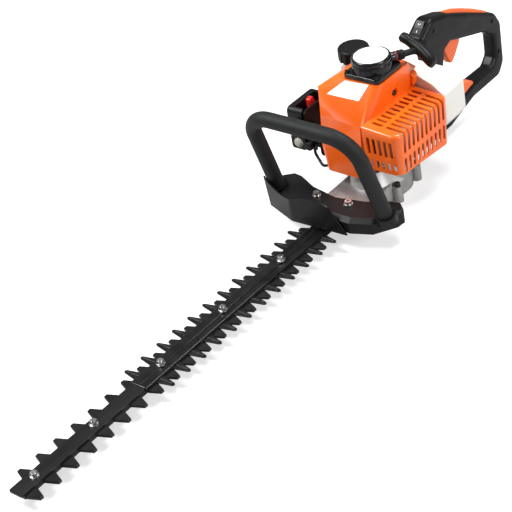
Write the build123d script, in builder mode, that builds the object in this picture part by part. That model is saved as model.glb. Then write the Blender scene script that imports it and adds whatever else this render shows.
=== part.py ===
"""Petrol hedge trimmer with a double-sided blade.

Millimetres. +Z is up, the blade points along -Y and the exhaust side is +X.
The origin is where the crankshaft axis meets the flat underside of the gear case.
"""

import math
import os

from build123d import *

os.makedirs("parts", exist_ok=True)

# ---- driving dimensions: cutting set ----
tooth_pitch = 32.0
tip_y = -786.0                # front end of the guide bar
right_tooth_y = -771.3        # first tooth on the right edge
left_tooth_y = -750.2         # first tooth on the left edge
right_teeth = 19
left_teeth = 19
tooth_reach = 31.0            # half width over the blade teeth
tooth_root = 10.5             # half length of a tooth where it leaves the blade
tooth_tip = 2.7               # half length of its blunt tip
blade_half = 12.0             # half width of the blade's back
blade_t = 2.4
blade_gap = 0.3
blade_top = 19.8
blade_stroke = 16.0
blade_tail_y = -90.0
bar_half = 11.5
bar_t = 3.5
bar_tail_y = -113.0
bolt_d = 6.0
nut_r = 5.3                   # over the corners
washer_r = 6.4
bolt_ys = [-751.7, -643.6, -513.2, -384.4, -256.0]
guard_bolts = 3               # the last bolts go through the tooth guard too
guard_front_y = -560.0
guard_tail_y = -150.0
guard_right_y = -532.9
guard_left_y = -542.1
guard_reach = 40.3
guard_t = 1.8
guard_teeth = 12
guard_flange_t = 1.1          # sheet over the bar, beside the ridge
guard_ridge_half = 6.5
guard_ridge_h = 1.6

# ---- driving dimensions: gear case and drive ----
case_r = 38.0
gear_case_r = 36.0
gear_y = -35.0
case_wall = 4.0
cover_t = 4.0
web_z = 30.5
web_t = 5.5
case_top_z = 52.0
tongue_z = 24.2
tongue_top_z = 31.0
tongue_half = 36.0
tongue_front_y = -146.0
gear_module = 1.25
pinion_teeth = 12
gear_teeth = 44
eccentric_throw = blade_stroke / 2
shaft_fit = 0.05              # radial clearance of running shafts

# ---- driving dimensions: engine ----
cylinder_z = 92.0
crank_throw = 10.0            # half the piston stroke
bore_r = 18.0
rod_length = 37.0
piston_h = 16.0
case_barrel_r = 28.0
crankcase_top_z = 122.0
journal_r = 6.0
bearing_r = 14.0
bearing_t = 10.0
flywheel_r = 34.0
flywheel_z = 124.0
head_y = -64.0

# ---- driving dimensions: covers and starter ----
cover_wall = 2.5
cover_low_z = 54.0
cover_mid_z = 143.0
cover_top_z = 190.0
muffler_left_x = 29.0
muffler_right_x = 90.0
muffler_front_y = -79.0
muffler_back_y = 51.0
muffler_low_z = 70.0
muffler_top_z = 150.0
starter_half = 31.0
starter_flange_t = 8.0
starter_screw_spots = [(-26, -26), (26, -26), (-26, 26)]
starter_drum_r = 29.0
starter_top_z = 218.0
pull_angle = 55.0             # direction of the rope in plan, from +X towards +Y

# ---- driving dimensions: handles ----
leg_x = 96.0
leg_y = -134.0
leg_z = 55.0
lean = 0.30                   # forward lean of the front handle
grip_r = 11.5
tube_r = 9.0
handle_top_z = 196.0
rear_half = 15.0              # half thickness of the rear handle
loop_r = 12.0


def hull_of(r_crank, r_gear):
    """Plan outline round the crank axis and the gear axis, in the open sketch."""
    with Locations((0, 0)):
        Circle(r_crank)
    with Locations((0, gear_y)):
        Circle(r_gear)
    make_hull()


def gear_outline(teeth, turn):
    """Stub involute gear outline, turned by `turn` degrees, as one closed wire."""
    pitch_r = gear_module * teeth / 2
    base_r = pitch_r * math.cos(math.radians(20))
    tip_r = pitch_r + 0.72 * gear_module
    root_r = pitch_r - 1.05 * gear_module
    backlash = 0.16
    half = math.pi / (2 * teeth) - backlash / (2 * pitch_r)
    involute = math.tan(math.radians(20)) - math.radians(20)
    points = []
    for tooth in range(teeth):
        middle = math.radians(turn) + 2 * math.pi * tooth / teeth
        flank = []
        for step in range(5):
            r = base_r + (tip_r - base_r) * step / 4
            angle = math.acos(min(1.0, base_r / r))
            spread = half + involute - (math.tan(angle) - angle)
            flank.append((r, spread))
        root_gap = math.pi / teeth
        points.append((root_r, middle - root_gap * 0.98))
        points.append((root_r, middle - flank[0][1] - 0.2 / pitch_r))
        points += [(r, middle - spread) for r, spread in flank]
        points += [(r, middle + spread) for r, spread in reversed(flank)]
        points.append((root_r, middle + flank[0][1] + 0.2 / pitch_r))
    return [(r * math.cos(a), r * math.sin(a)) for r, a in points]


def tooth_points(side, y, inner, reach, root, tip):
    """Corners of one tooth that points to `side` (+1 is +X)."""
    return [
        (side * inner, y - root),
        (side * reach, y - tip),
        (side * reach, y + tip),
        (side * inner, y + root),
    ]


# ================= cutting set =================

for blade_name, top_z, bevel_up in (
    ("blade_upper", blade_top, True),
    ("blade_lower", blade_top - blade_t - blade_gap, False),
):
    with BuildPart() as blade:
        with BuildSketch(Plane.XY.offset(top_z - blade_t)):
            with Locations((0, (tip_y + 4 + blade_tail_y) / 2)):
                Rectangle(2 * blade_half, blade_tail_y - tip_y - 4)
            for n in range(right_teeth):
                with BuildLine():
                    Polyline(
                        *tooth_points(1, right_tooth_y + n * tooth_pitch, blade_half - 0.5, tooth_reach,
                                      tooth_root, tooth_tip),
                        close=True,
                    )
                make_face()
            for n in range(left_teeth):
                with BuildLine():
                    Polyline(
                        *tooth_points(-1, left_tooth_y + n * tooth_pitch, blade_half - 0.5, tooth_reach,
                                      tooth_root, tooth_tip),
                        close=True,
                    )
                make_face()
            with Locations(*[(0, y) for y in bolt_ys]):
                SlotOverall(blade_stroke + bolt_d + 2, bolt_d + 1.2, rotation=90, mode=Mode.SUBTRACT)
            with Locations((0, blade_tail_y - 6)):
                Circle(3.1, mode=Mode.SUBTRACT)
        extrude(amount=blade_t)
        cutting_face = blade.faces().sort_by(Axis.Z)[-1 if bevel_up else 0]
        tooth_edges = [
            edge for edge in cutting_face.outer_wire().edges()
            if abs(edge.center().X) > blade_half + 2
        ]
        chamfer(tooth_edges, length=0.9)
    blade.part.label = blade_name
    export_step(blade.part, f"parts/{blade_name}.step")

bar_z = blade_top + blade_gap
bar_top_z = bar_z + bar_t
with BuildPart() as guide_bar:
    with BuildSketch(Plane.XY.offset(bar_z)):
        with Locations((0, (tip_y + bar_tail_y) / 2)):
            RectangleRounded(2 * bar_half, bar_tail_y - tip_y, 3)
        with Locations((0, leg_y + 5)):
            RectangleRounded(2 * tongue_half - 2, 24, 5)
        with Locations(*[(0, y) for y in bolt_ys]):
            Circle(bolt_d / 2 + shaft_fit, mode=Mode.SUBTRACT)
        with Locations((-28, leg_y + 5), (28, leg_y + 5)):
            Circle(3.2, mode=Mode.SUBTRACT)
    extrude(amount=bar_t)
    chamfer(guide_bar.faces().sort_by(Axis.Z)[-1].outer_wire().edges(), length=0.7)
guide_bar.part.label = "guide_bar"
export_step(guide_bar.part, "parts/guide_bar.step")

with BuildPart() as tooth_guard:
    guard_length = guard_tail_y - guard_front_y
    guard_mid_y = (guard_tail_y + guard_front_y) / 2
    with BuildSketch(Plane.XY.offset(bar_z)):
        with Locations((0, guard_mid_y)):
            Rectangle(32, guard_length)
        for side, first_y in ((1, guard_right_y), (-1, guard_left_y)):
            for n in range(guard_teeth):
                y = first_y + n * tooth_pitch
                with BuildLine():
                    tip_x = guard_reach - 2.6
                    Polyline((side * tip_x, y - 2.6), (side * 15, y - 9.5), (side * 15, y + 9.5),
                             (side * tip_x, y + 2.6))
                    ThreePointArc((side * tip_x, y + 2.6), (side * guard_reach, y), (side * tip_x, y - 2.6))
                make_face()
    extrude(amount=guard_t)
    with BuildSketch(Plane.XY.offset(bar_z)):
        with Locations((0, guard_mid_y)):
            Rectangle(28, guard_length)
    extrude(amount=bar_t + blade_gap + guard_flange_t)
    chamfer(tooth_guard.edges().filter_by(Axis.Y).group_by(Axis.Z)[-1], length=1.6)
    with BuildSketch(Plane.XY.offset(bar_z + bar_t + blade_gap)):
        with Locations((0, guard_mid_y)):
            Rectangle(2 * guard_ridge_half, guard_length)
    extrude(amount=guard_flange_t + guard_ridge_h)
    chamfer(tooth_guard.edges().filter_by(Axis.Y).group_by(Axis.Z)[-1], length=1.2)
    with BuildSketch(Plane.XY.offset(bar_z)):
        with Locations((0, guard_mid_y)):
            Rectangle(2 * bar_half + 0.8, guard_length)
    extrude(amount=bar_t + blade_gap, mode=Mode.SUBTRACT)
    for side, first_y in ((1, guard_right_y), (-1, guard_left_y)):
        with BuildSketch(Plane.XY.offset(bar_z + guard_t)):
            with Locations(*[(side * 25, first_y + n * tooth_pitch) for n in range(guard_teeth)]):
                SlotOverall(17, 3.2)
        extrude(amount=1.0)
    with BuildSketch(Plane.XY.offset(bar_z)):
        with Locations(*[(0, y) for y in bolt_ys[-guard_bolts:]]):
            Circle(bolt_d / 2 + 0.15)
    extrude(amount=20, mode=Mode.SUBTRACT)
tooth_guard.part.label = "tooth_guard"
export_step(tooth_guard.part, "parts/tooth_guard.step")

guard_top_z = bar_z + bar_t + blade_gap + guard_flange_t + guard_ridge_h
low_blade_z = blade_top - 2 * blade_t - blade_gap
bolt_low_z = low_blade_z - 1.6 - 5
seat_zs = [guard_top_z if y in bolt_ys[-guard_bolts:] else bar_top_z for y in bolt_ys]
with BuildPart() as blade_bolts:
    for y, seat_z in zip(bolt_ys, seat_zs):
        with BuildSketch(Plane.XY.offset(bolt_low_z)):
            with Locations((0, y)):
                RegularPolygon(nut_r, 6)
        extrude(amount=5)
        with BuildSketch(Plane.XY.offset(bolt_low_z + 5)):
            with Locations((0, y)):
                Circle(bolt_d / 2)
        extrude(amount=seat_z + 8 - bolt_low_z - 5)
        for washer_z in (bolt_low_z + 5.05, seat_z):
            with BuildSketch(Plane.XY.offset(washer_z)):
                with Locations((0, y)):
                    Circle(washer_r)
                    Circle(bolt_d / 2 + 0.1, mode=Mode.SUBTRACT)
            extrude(amount=1.2)
        with BuildSketch(Plane.XY.offset(seat_z + 1.25)):
            with Locations((0, y)):
                RegularPolygon(nut_r, 6)
                Circle(bolt_d / 2 + 0.02, mode=Mode.SUBTRACT)
        extrude(amount=5)
blade_bolts.part.label = "blade_bolts"
export_step(blade_bolts.part, "parts/blade_bolts.step")

# ================= gear case and drive =================

lug_spots = [(41, -30), (-41, -30), (32, 30), (-32, 30)]
with BuildPart() as gear_case:
    with BuildSketch(Plane.XY.offset(cover_t)):
        hull_of(case_r, gear_case_r)
    extrude(amount=tongue_z - cover_t)
    with BuildSketch(Plane.XY.offset(tongue_z)):
        hull_of(case_r, gear_case_r)
    extrude(amount=case_top_z - tongue_z, taper=24)
    with BuildSketch(Plane.XY.offset(tongue_z)):
        Circle(case_r)
    extrude(amount=case_top_z - tongue_z)
    with BuildSketch(Plane.XY.offset(tongue_z)):
        with Locations((0, (tongue_front_y + gear_y) / 2)):
            RectangleRounded(2 * tongue_half, gear_y - tongue_front_y, 6)
    extrude(amount=tongue_top_z - tongue_z)
    with BuildSketch(Plane.XY.offset(tongue_top_z)):
        with Locations((-28, leg_y + 5), (28, leg_y + 5)):
            Circle(8.5)
    extrude(amount=46.8 - tongue_top_z)
    with BuildSketch(Plane.XY.offset(cover_t)):
        with Locations(*lug_spots):
            Circle(7)
    extrude(amount=22)
    with BuildSketch(Plane.XY.offset(28)):
        with Locations((0, case_r - 3)):
            Rectangle(32, 10)
    extrude(amount=18)
    with BuildSketch(Plane.XY.offset(cover_t)):
        hull_of(case_r - case_wall, gear_case_r - case_wall)
    extrude(amount=web_z - cover_t, mode=Mode.SUBTRACT)
    with BuildSketch(Plane.XY.offset(web_z + web_t)):
        Circle(case_r - case_wall)
    extrude(amount=40, mode=Mode.SUBTRACT)
    with BuildSketch(Plane.XY.offset(cover_t)):
        with Locations((0, -64)):
            Rectangle(34, 40)
    extrude(amount=tongue_z - cover_t, mode=Mode.SUBTRACT)
    with BuildSketch(Plane.XY.offset(web_z - 1)):
        Circle(11 + 0.01)
        with Locations((0, gear_y)):
            Circle(7.01)
    extrude(amount=web_t + 2, mode=Mode.SUBTRACT)
    with BuildSketch(Plane.XY.offset(cover_t)):
        with Locations(*lug_spots):
            Circle(2.6)
        with Locations((-28, leg_y + 5), (28, leg_y + 5)):
            Circle(3.2)
    extrude(amount=60, mode=Mode.SUBTRACT)
gear_case.part.label = "gear_case"
export_step(gear_case.part, "parts/gear_case.step")

with BuildPart() as gear_case_cover:
    with BuildSketch():
        hull_of(case_r, gear_case_r)
        with Locations(*lug_spots):
            Circle(7)
        with Locations(*lug_spots):
            Circle(2.6, mode=Mode.SUBTRACT)
    extrude(amount=cover_t)
    with BuildSketch(Plane.XY.offset(cover_t)):
        Circle(14)
        with Locations((0, gear_y)):
            Circle(9)
    extrude(amount=5)
    with BuildSketch(Plane.XY.offset(2)):
        Circle(11.01)
        with Locations((0, gear_y)):
            Circle(7.01)
    extrude(amount=20, mode=Mode.SUBTRACT)
gear_case_cover.part.label = "gear_case_cover"
export_step(gear_case_cover.part, "parts/gear_case_cover.step")

with BuildPart() as gear_case_screws:
    with BuildSketch(Plane.XY.offset(1.5)):
        with Locations(*lug_spots):
            Circle(2.5)
    extrude(amount=24.5 + cover_t - 4)
    with BuildSketch(Plane.XY.offset(cover_t + 22)):
        with Locations(*lug_spots):
            Circle(4.6)
    extrude(amount=5)
    with BuildSketch(Plane.XY.offset(cover_t + 27)):
        with Locations(*lug_spots):
            RegularPolygon(2.4, 6)
    extrude(amount=-3, mode=Mode.SUBTRACT)
gear_case_screws.part.label = "gear_case_screws"
export_step(gear_case_screws.part, "parts/gear_case_screws.step")

with BuildPart() as drive_bearings:
    for bearing_z in (2, web_z - 0.5):
        with BuildSketch(Plane.XY.offset(bearing_z)):
            Circle(11)
            Circle(5 + 0.03, mode=Mode.SUBTRACT)
            with Locations((0, gear_y)):
                Circle(7)
                Circle(5 + 0.03, mode=Mode.SUBTRACT)
        extrude(amount=6)
drive_bearings.part.label = "drive_bearings"
export_step(drive_bearings.part, "parts/drive_bearings.step")

gear_z = 23.6
gear_face = 6.2
with BuildPart() as clutch_drum:
    with BuildSketch(Plane.XY.offset(3)):
        Circle(5)
    extrude(amount=35.5)
    with BuildSketch(Plane.XY.offset(gear_z - 1)):
        with BuildLine():
            Polyline(*gear_outline(pinion_teeth, -90), close=True)
        make_face()
    extrude(amount=gear_face + 0.6)
    with BuildSketch(Plane.XY.offset(38)):
        Circle(27.5)
    extrude(amount=12.5)
    with BuildSketch(Plane.XY.offset(40)):
        Circle(25)
    extrude(amount=20, mode=Mode.SUBTRACT)
clutch_drum.part.label = "clutch_drum"
export_step(clutch_drum.part, "parts/clutch_drum.step")

rod_up_z = bar_z
rod_low_z = low_blade_z - blade_gap - blade_t
with BuildPart() as drive_gear:
    with BuildSketch(Plane(origin=(0, gear_y, gear_z))):
        with BuildLine():
            Polyline(*gear_outline(gear_teeth, 90 + 180 / gear_teeth), close=True)
        make_face()
        with PolarLocations(16, 5):
            Circle(4.5, mode=Mode.SUBTRACT)
    extrude(amount=gear_face)
    with BuildSketch(Plane(origin=(0, gear_y, 3))):
        Circle(5)
    extrude(amount=rod_low_z - 3.4)
    with BuildSketch(Plane(origin=(0, gear_y, 3))):
        Circle(4.4)
    extrude(amount=gear_z - 3)
    with BuildSketch(Plane(origin=(0, gear_y, gear_z))):
        Circle(5)
    extrude(amount=web_z + 4.8 - gear_z)
    for low_z, throw in ((low_blade_z + 0.1, -eccentric_throw), (low_blade_z + 2.4, eccentric_throw)):
        with BuildSketch(Plane(origin=(throw, gear_y, low_z))):
            Circle(16)
        extrude(amount=2.4)
drive_gear.part.label = "drive_gear"
export_step(drive_gear.part, "parts/drive_gear.step")

for rod_name, rod_z, eye_x, pin_z in (
    ("conrod_upper", rod_up_z, eccentric_throw, blade_top - blade_t),
    ("conrod_lower", rod_low_z, -eccentric_throw, low_blade_z),
):
    with BuildPart() as conrod:
        with BuildSketch(Plane.XY.offset(rod_z)):
            with Locations((eye_x, gear_y)):
                Circle(19.5)
            with Locations((0, blade_tail_y - 6)):
                Circle(6)
            with BuildLine():
                Polyline((eye_x - 9, gear_y - 16), (eye_x + 9, gear_y - 16), (5, blade_tail_y - 6),
                         (-5, blade_tail_y - 6), close=True)
            make_face()
            with Locations((eye_x, gear_y)):
                Circle(16.3, mode=Mode.SUBTRACT)
        extrude(amount=blade_t)
        with BuildSketch(Plane.XY.offset(min(rod_z, pin_z))):
            with Locations((0, blade_tail_y - 6)):
                Circle(3)
        extrude(amount=2 * blade_t + blade_gap)
    conrod.part.label = rod_name
    export_step(conrod.part, f"parts/{rod_name}.step")

# ================= bracket, shield and front handle =================

bracket_z = 47.0
bracket_t = 3.0
bracket_low_z = 28.0
bracket_half_plan = [
    (0, -122), (46, -113), (80, -97), (94, -95), (107, -106), (105, -121), (84, -151), (52, -163), (0, -163),
]
with BuildPart() as handle_base:
    with BuildSketch(Plane.XY.offset(bracket_low_z)):
        with BuildLine():
            Polyline(*bracket_half_plan, close=True)
        make_face()
        mirror(about=Plane.YZ)
    extrude(amount=bracket_z + bracket_t - bracket_low_z)
    rim = handle_base.faces().sort_by(Axis.Z)[-1].outer_wire().edges()
    front_rim = [edge for edge in rim if edge.center().Y < -125]
    chamfer(front_rim, length=5, length2=8)
    with BuildSketch(Plane.XY.offset(bracket_low_z)):
        with BuildLine():
            Polyline(*bracket_half_plan, close=True)
        make_face()
        mirror(about=Plane.YZ)
        offset(amount=-3.2, kind=Kind.INTERSECTION, mode=Mode.REPLACE)
    extrude(amount=bracket_z - bracket_low_z - 10, mode=Mode.SUBTRACT)
    with BuildSketch(Plane.XY.offset(bracket_low_z)):
        with Locations((0, -125)):
            Rectangle(148, 50)
    extrude(amount=bracket_z - bracket_low_z, mode=Mode.SUBTRACT)
    for side in (-1, 1):
        leg_plane = Plane(origin=(side * leg_x, leg_y, leg_z), z_dir=(0, -lean, 1))
        with BuildSketch(leg_plane.offset(-13)):
            Circle(grip_r + 4)
        extrude(amount=14)
        with BuildSketch(leg_plane.offset(-10)):
            Circle(grip_r + 0.7)
        extrude(amount=14, mode=Mode.SUBTRACT)
    with BuildSketch(Plane.XY.offset(bracket_z - 1)):
        with Locations((-28, leg_y + 5), (28, leg_y + 5)):
            Circle(3.2)
    extrude(amount=10, mode=Mode.SUBTRACT)
handle_base.part.label = "handle_base"
export_step(handle_base.part, "parts/handle_base.step")

with BuildPart() as bracket_bolts:
    with BuildSketch(Plane.XY.offset(14)):
        with Locations((-28, leg_y + 5), (28, leg_y + 5)):
            Circle(3)
    extrude(amount=bracket_z + bracket_t + 1.5 - 14)
    with BuildSketch(Plane.XY.offset(bracket_z + bracket_t)):
        with Locations((-28, leg_y + 5), (28, leg_y + 5)):
            Circle(6.5)
    extrude(amount=1.5)
    with BuildSketch(Plane.XY.offset(bracket_z + bracket_t + 1.5)):
        with Locations((-28, leg_y + 5), (28, leg_y + 5)):
            Circle(4.8)
    extrude(amount=4.5)
    with BuildSketch(Plane.XY.offset(bracket_z + bracket_t + 6)):
        with Locations((-28, leg_y + 5), (28, leg_y + 5)):
            RegularPolygon(2.8, 6)
    extrude(amount=-3, mode=Mode.SUBTRACT)
    with BuildSketch(Plane.XY.offset(14.8)):
        with Locations((-28, leg_y + 5), (28, leg_y + 5)):
            RegularPolygon(5.6, 6)
    extrude(amount=5.2)
bracket_bolts.part.label = "bracket_bolts"
export_step(bracket_bolts.part, "parts/bracket_bolts.step")

with BuildPart() as front_shield:
    with BuildSketch(Plane.XY.offset(27)):
        with BuildLine():
            FilletPolyline((-106, -150), (-44, -172), (50, -168), radius=16)
            offset(amount=2.6, side=Side.LEFT)
        make_face()
    extrude(amount=58)
    with BuildSketch(Plane.XZ.offset(140)) as shield_outline:
        with BuildLine():
            Polyline((-99, 27), (-46, 27), (50, 27), (22, 67))
            Spline((22, 67), (-19, 70.5), (-54, 62.5), (-75, 62), (-106, 74.5))
            Line((-106, 74.5), (-99, 27))
        make_face()
    extrude(amount=40, mode=Mode.INTERSECT)
front_shield.part.label = "front_shield"
export_step(front_shield.part, "parts/front_shield.step")

slant = math.sqrt(1 + lean * lean)
handle_plane = Plane(origin=(0, leg_y, leg_z), x_dir=(1, 0, 0), z_dir=(0, -1, -lean))
handle_rise = (handle_top_z - leg_z) * slant
with BuildPart() as front_handle:
    with BuildLine(handle_plane) as tube_line:
        FilletPolyline(
            (-leg_x, -9.3), (-leg_x + 5, handle_rise), (leg_x - 5, handle_rise), (leg_x, -9.3),
            radius=42,
        )
    with BuildSketch(Plane(origin=tube_line.line @ 0, z_dir=tube_line.line % 0)):
        Circle(tube_r)
        Circle(tube_r - 1.8, mode=Mode.SUBTRACT)
    sweep(path=tube_line.line)
front_handle.part.label = "front_handle_tube"
export_step(front_handle.part, "parts/front_handle_tube.step")

with BuildPart() as front_grip:
    with BuildLine(handle_plane) as grip_line:
        FilletPolyline(
            (-leg_x + 0.11, -6.5), (-leg_x + 5, handle_rise), (leg_x - 5, handle_rise), (leg_x - 0.11, -6.5),
            radius=42,
        )
    with BuildSketch(Plane(origin=grip_line.line @ 0, z_dir=grip_line.line % 0)):
        Circle(grip_r)
        Circle(tube_r + 0.02, mode=Mode.SUBTRACT)
    sweep(path=grip_line.line)
front_grip.part.label = "front_handle_grip"
export_step(front_grip.part, "parts/front_handle_grip.step")

# ================= engine =================

rod_z = cylinder_z - 3
rod_h = 6.0
web_gap = 4.0
with BuildPart() as crankcase:
    with BuildSketch(Plane.XY.offset(case_top_z)):
        Circle(case_r)
    extrude(amount=5)
    with BuildSketch(Plane.XY.offset(case_top_z)):
        Circle(case_barrel_r)
    extrude(amount=crankcase_top_z - case_top_z - 0.2)
    with BuildSketch(Plane.XZ.offset(22)):
        with Locations((0, cylinder_z)):
            RectangleRounded(44, 50, 8)
    extrude(amount=8)
    with BuildSketch(Plane.XY.offset(cylinder_z - 15)):
        Circle(20)
    extrude(amount=30, mode=Mode.SUBTRACT)
    with BuildSketch(Plane.XZ.offset(10)):
        with Locations((0, cylinder_z)):
            Circle(bore_r + 0.5)
    extrude(amount=40, mode=Mode.SUBTRACT)
    with BuildSketch(Plane.XY.offset(case_top_z)):
        Circle(journal_r + 1)
    extrude(amount=100, mode=Mode.SUBTRACT)
    for seat_z in (cylinder_z - 27, cylinder_z + 17):
        with BuildSketch(Plane.XY.offset(seat_z)):
            Circle(bearing_r + 0.01)
        extrude(amount=bearing_t, mode=Mode.SUBTRACT)
crankcase.part.label = "crankcase"
export_step(crankcase.part, "parts/crankcase.step")

with BuildPart() as main_bearings:
    for seat_z in (cylinder_z - 27, cylinder_z + 17):
        with BuildSketch(Plane.XY.offset(seat_z)):
            Circle(bearing_r)
            Circle(journal_r + 0.03, mode=Mode.SUBTRACT)
        extrude(amount=bearing_t)
main_bearings.part.label = "main_bearings"
export_step(main_bearings.part, "parts/main_bearings.step")

starter_cup_z = 186.0
with BuildPart() as crankshaft:
    with BuildSketch(Plane.XY.offset(40.6)):
        Circle(8)
    extrude(amount=10)
    with BuildSketch(Plane.XY.offset(45)):
        Circle(journal_r)
    extrude(amount=cylinder_z - 8 - 45)
    for low_z in (cylinder_z - 13, cylinder_z + 8):
        with BuildSketch(Plane.XY.offset(low_z)):
            Circle(16)
        extrude(amount=5)
    for low_z in (cylinder_z - 8, cylinder_z + rod_h / 2 + 0.5):
        with BuildSketch(Plane.XY.offset(low_z)):
            with Locations((0, -crank_throw)):
                Circle(4.5)
        extrude(amount=8 - rod_h / 2 - 0.5)
    with BuildSketch(Plane.XY.offset(cylinder_z + 8)):
        Circle(journal_r)
    extrude(amount=starter_cup_z - 22 - cylinder_z - 8)
crankshaft.part.label = "crankshaft"
export_step(crankshaft.part, "parts/crankshaft.step")

with BuildPart() as clutch_shoes:
    with BuildSketch(Plane.XY.offset(41)):
        Circle(24)
        Circle(8.4, mode=Mode.SUBTRACT)
        Rectangle(5, 60, mode=Mode.SUBTRACT)
    extrude(amount=8.5)
    with BuildSketch(Plane.XY.offset(43.5)):
        Rectangle(8, 44)
        Circle(16, mode=Mode.SUBTRACT)
    extrude(amount=2)
    with BuildSketch(Plane.XY.offset(41)):
        Circle(10)
        Circle(8.02, mode=Mode.SUBTRACT)
    extrude(amount=8.5)
clutch_shoes.part.label = "clutch_shoes"
export_step(clutch_shoes.part, "parts/clutch_shoes.step")

with BuildPart() as cylinder:
    with BuildSketch(Plane.XZ.offset(30.3)):
        with Locations((0, cylinder_z)):
            RectangleRounded(44, 50, 8)
    extrude(amount=4)
    with BuildSketch(Plane.XZ.offset(30.3)):
        with Locations((0, cylinder_z)):
            Circle(bore_r + 3)
    extrude(amount=-head_y - 30.3 - 2)
    with BuildSketch(Plane.XZ.offset(37)):
        with Locations((0, cylinder_z)):
            RectangleRounded(44, 50, 8)
    extrude(amount=1.6)
    for fin in range(1, 7):
        with BuildSketch(Plane.XZ.offset(37 + 4.2 * fin)):
            with Locations((0, cylinder_z)):
                RectangleRounded(44, 50, 8)
        extrude(amount=1.6)
    with BuildSketch(Plane.YZ.offset(bore_r + 1)):
        with Locations((-50, cylinder_z)):
            Rectangle(14, 14)
    extrude(amount=12)
    with BuildSketch(Plane.YZ.offset(-bore_r - 1)):
        with Locations((-46, cylinder_z)):
            Rectangle(16, 16)
    extrude(amount=-12)
    with BuildSketch(Plane.XY.offset(cylinder_z + 19)):
        with Locations((0, head_y + 11)):
            Circle(9)
    extrude(amount=11)
    with BuildSketch(Plane.XZ.offset(20)):
        with Locations((0, cylinder_z)):
            Circle(bore_r)
    extrude(amount=36.5, mode=Mode.SUBTRACT)
    with BuildSketch(Plane.YZ.offset(10)):
        with Locations((-50, cylinder_z)):
            Circle(4.5)
    extrude(amount=30, mode=Mode.SUBTRACT)
    with BuildSketch(Plane.YZ.offset(-10)):
        with Locations((-46, cylinder_z)):
            Circle(4.5)
    extrude(amount=-30, mode=Mode.SUBTRACT)
    with BuildSketch(Plane.XY.offset(cylinder_z + 18.8)):
        with Locations((0, head_y + 11)):
            Circle(5.02)
    extrude(amount=40, mode=Mode.SUBTRACT)
cylinder.part.label = "cylinder"
export_step(cylinder.part, "parts/cylinder.step")

piston_top_y = -crank_throw - rod_length - 8
with BuildPart() as piston:
    with BuildSketch(Plane.XZ.offset(-piston_top_y - piston_h)):
        with Locations((0, cylinder_z)):
            Circle(bore_r - 0.05)
            Circle(bore_r - 3.5, mode=Mode.SUBTRACT)
    extrude(amount=piston_h)
    with BuildSketch(Plane.XZ.offset(-piston_top_y - 2.5)):
        with Locations((0, cylinder_z)):
            Circle(bore_r - 3)
    extrude(amount=2.5)
    for groove in (3.5, 6.5):
        with BuildSketch(Plane.XZ.offset(-piston_top_y - groove)):
            with Locations((0, cylinder_z)):
                Circle(bore_r + 1)
                Circle(bore_r - 1.2, mode=Mode.SUBTRACT)
        extrude(amount=1.2, mode=Mode.SUBTRACT)
    with BuildSketch(Plane.XY.offset(cylinder_z - 20)):
        with Locations((0, piston_top_y + 8)):
            Circle(4.02)
    extrude(amount=40, mode=Mode.SUBTRACT)
    with BuildSketch(Plane.XY.offset(cylinder_z - bore_r + 3)):
        with Locations((0, piston_top_y + 8)):
            Circle(4)
            Circle(2.4, mode=Mode.SUBTRACT)
    extrude(amount=2 * bore_r - 6)
piston.part.label = "piston"
export_step(piston.part, "parts/piston.step")

with BuildPart() as piston_rod:
    with BuildSketch(Plane.XY.offset(rod_z)):
        with Locations((0, piston_top_y + 8)):
            Circle(5.4)
        with Locations((0, -crank_throw)):
            Circle(8)
        with Locations((0, (piston_top_y + 8 - crank_throw) / 2)):
            Rectangle(7, rod_length - 6)
        with Locations((0, piston_top_y + 8)):
            Circle(4.03, mode=Mode.SUBTRACT)
        with Locations((0, -crank_throw)):
            Circle(4.8, mode=Mode.SUBTRACT)
    extrude(amount=rod_h)
piston_rod.part.label = "piston_rod"
export_step(piston_rod.part, "parts/piston_rod.step")

with BuildPart() as flywheel:
    with BuildSketch(Plane.XY.offset(flywheel_z)):
        Circle(flywheel_r)
    extrude(amount=18)
    with BuildSketch(Plane.XY.offset(flywheel_z + 5)):
        Circle(flywheel_r - 4)
        Circle(14, mode=Mode.SUBTRACT)
    extrude(amount=20, mode=Mode.SUBTRACT)
    with BuildSketch(Plane.XY.offset(flywheel_z + 4)):
        with PolarLocations(24, 12):
            Rectangle(20, 2.4, rotation=25)
        Circle(flywheel_r - 1, mode=Mode.INTERSECT)
    extrude(amount=18.4)
    with BuildSketch(Plane.XY.offset(flywheel_z)):
        Circle(journal_r + 0.01)
    extrude(amount=60, mode=Mode.SUBTRACT)
    with BuildSketch(Plane.XY.offset(150)):
        Circle(19)
        Circle(journal_r + 0.01, mode=Mode.SUBTRACT)
    extrude(amount=6)
    with BuildSketch(Plane.XY.offset(156)):
        Circle(19)
        Circle(16.5, mode=Mode.SUBTRACT)
    extrude(amount=starter_cup_z - 156)
flywheel.part.label = "flywheel"
export_step(flywheel.part, "parts/flywheel.step")

with BuildPart() as ignition_coil:
    with BuildSketch(Plane.XY.offset(flywheel_z + 1)):
        with Locations((-14, flywheel_r + 4.6)):
            Rectangle(30, 8)
    extrude(amount=16)
    with BuildSketch(Plane.XY.offset(flywheel_z - 2)):
        with Locations((-14, flywheel_r + 4.6)):
            RectangleRounded(16, 8, 2)
    extrude(amount=22)
ignition_coil.part.label = "ignition_coil"
export_step(ignition_coil.part, "parts/ignition_coil.step")

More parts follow.
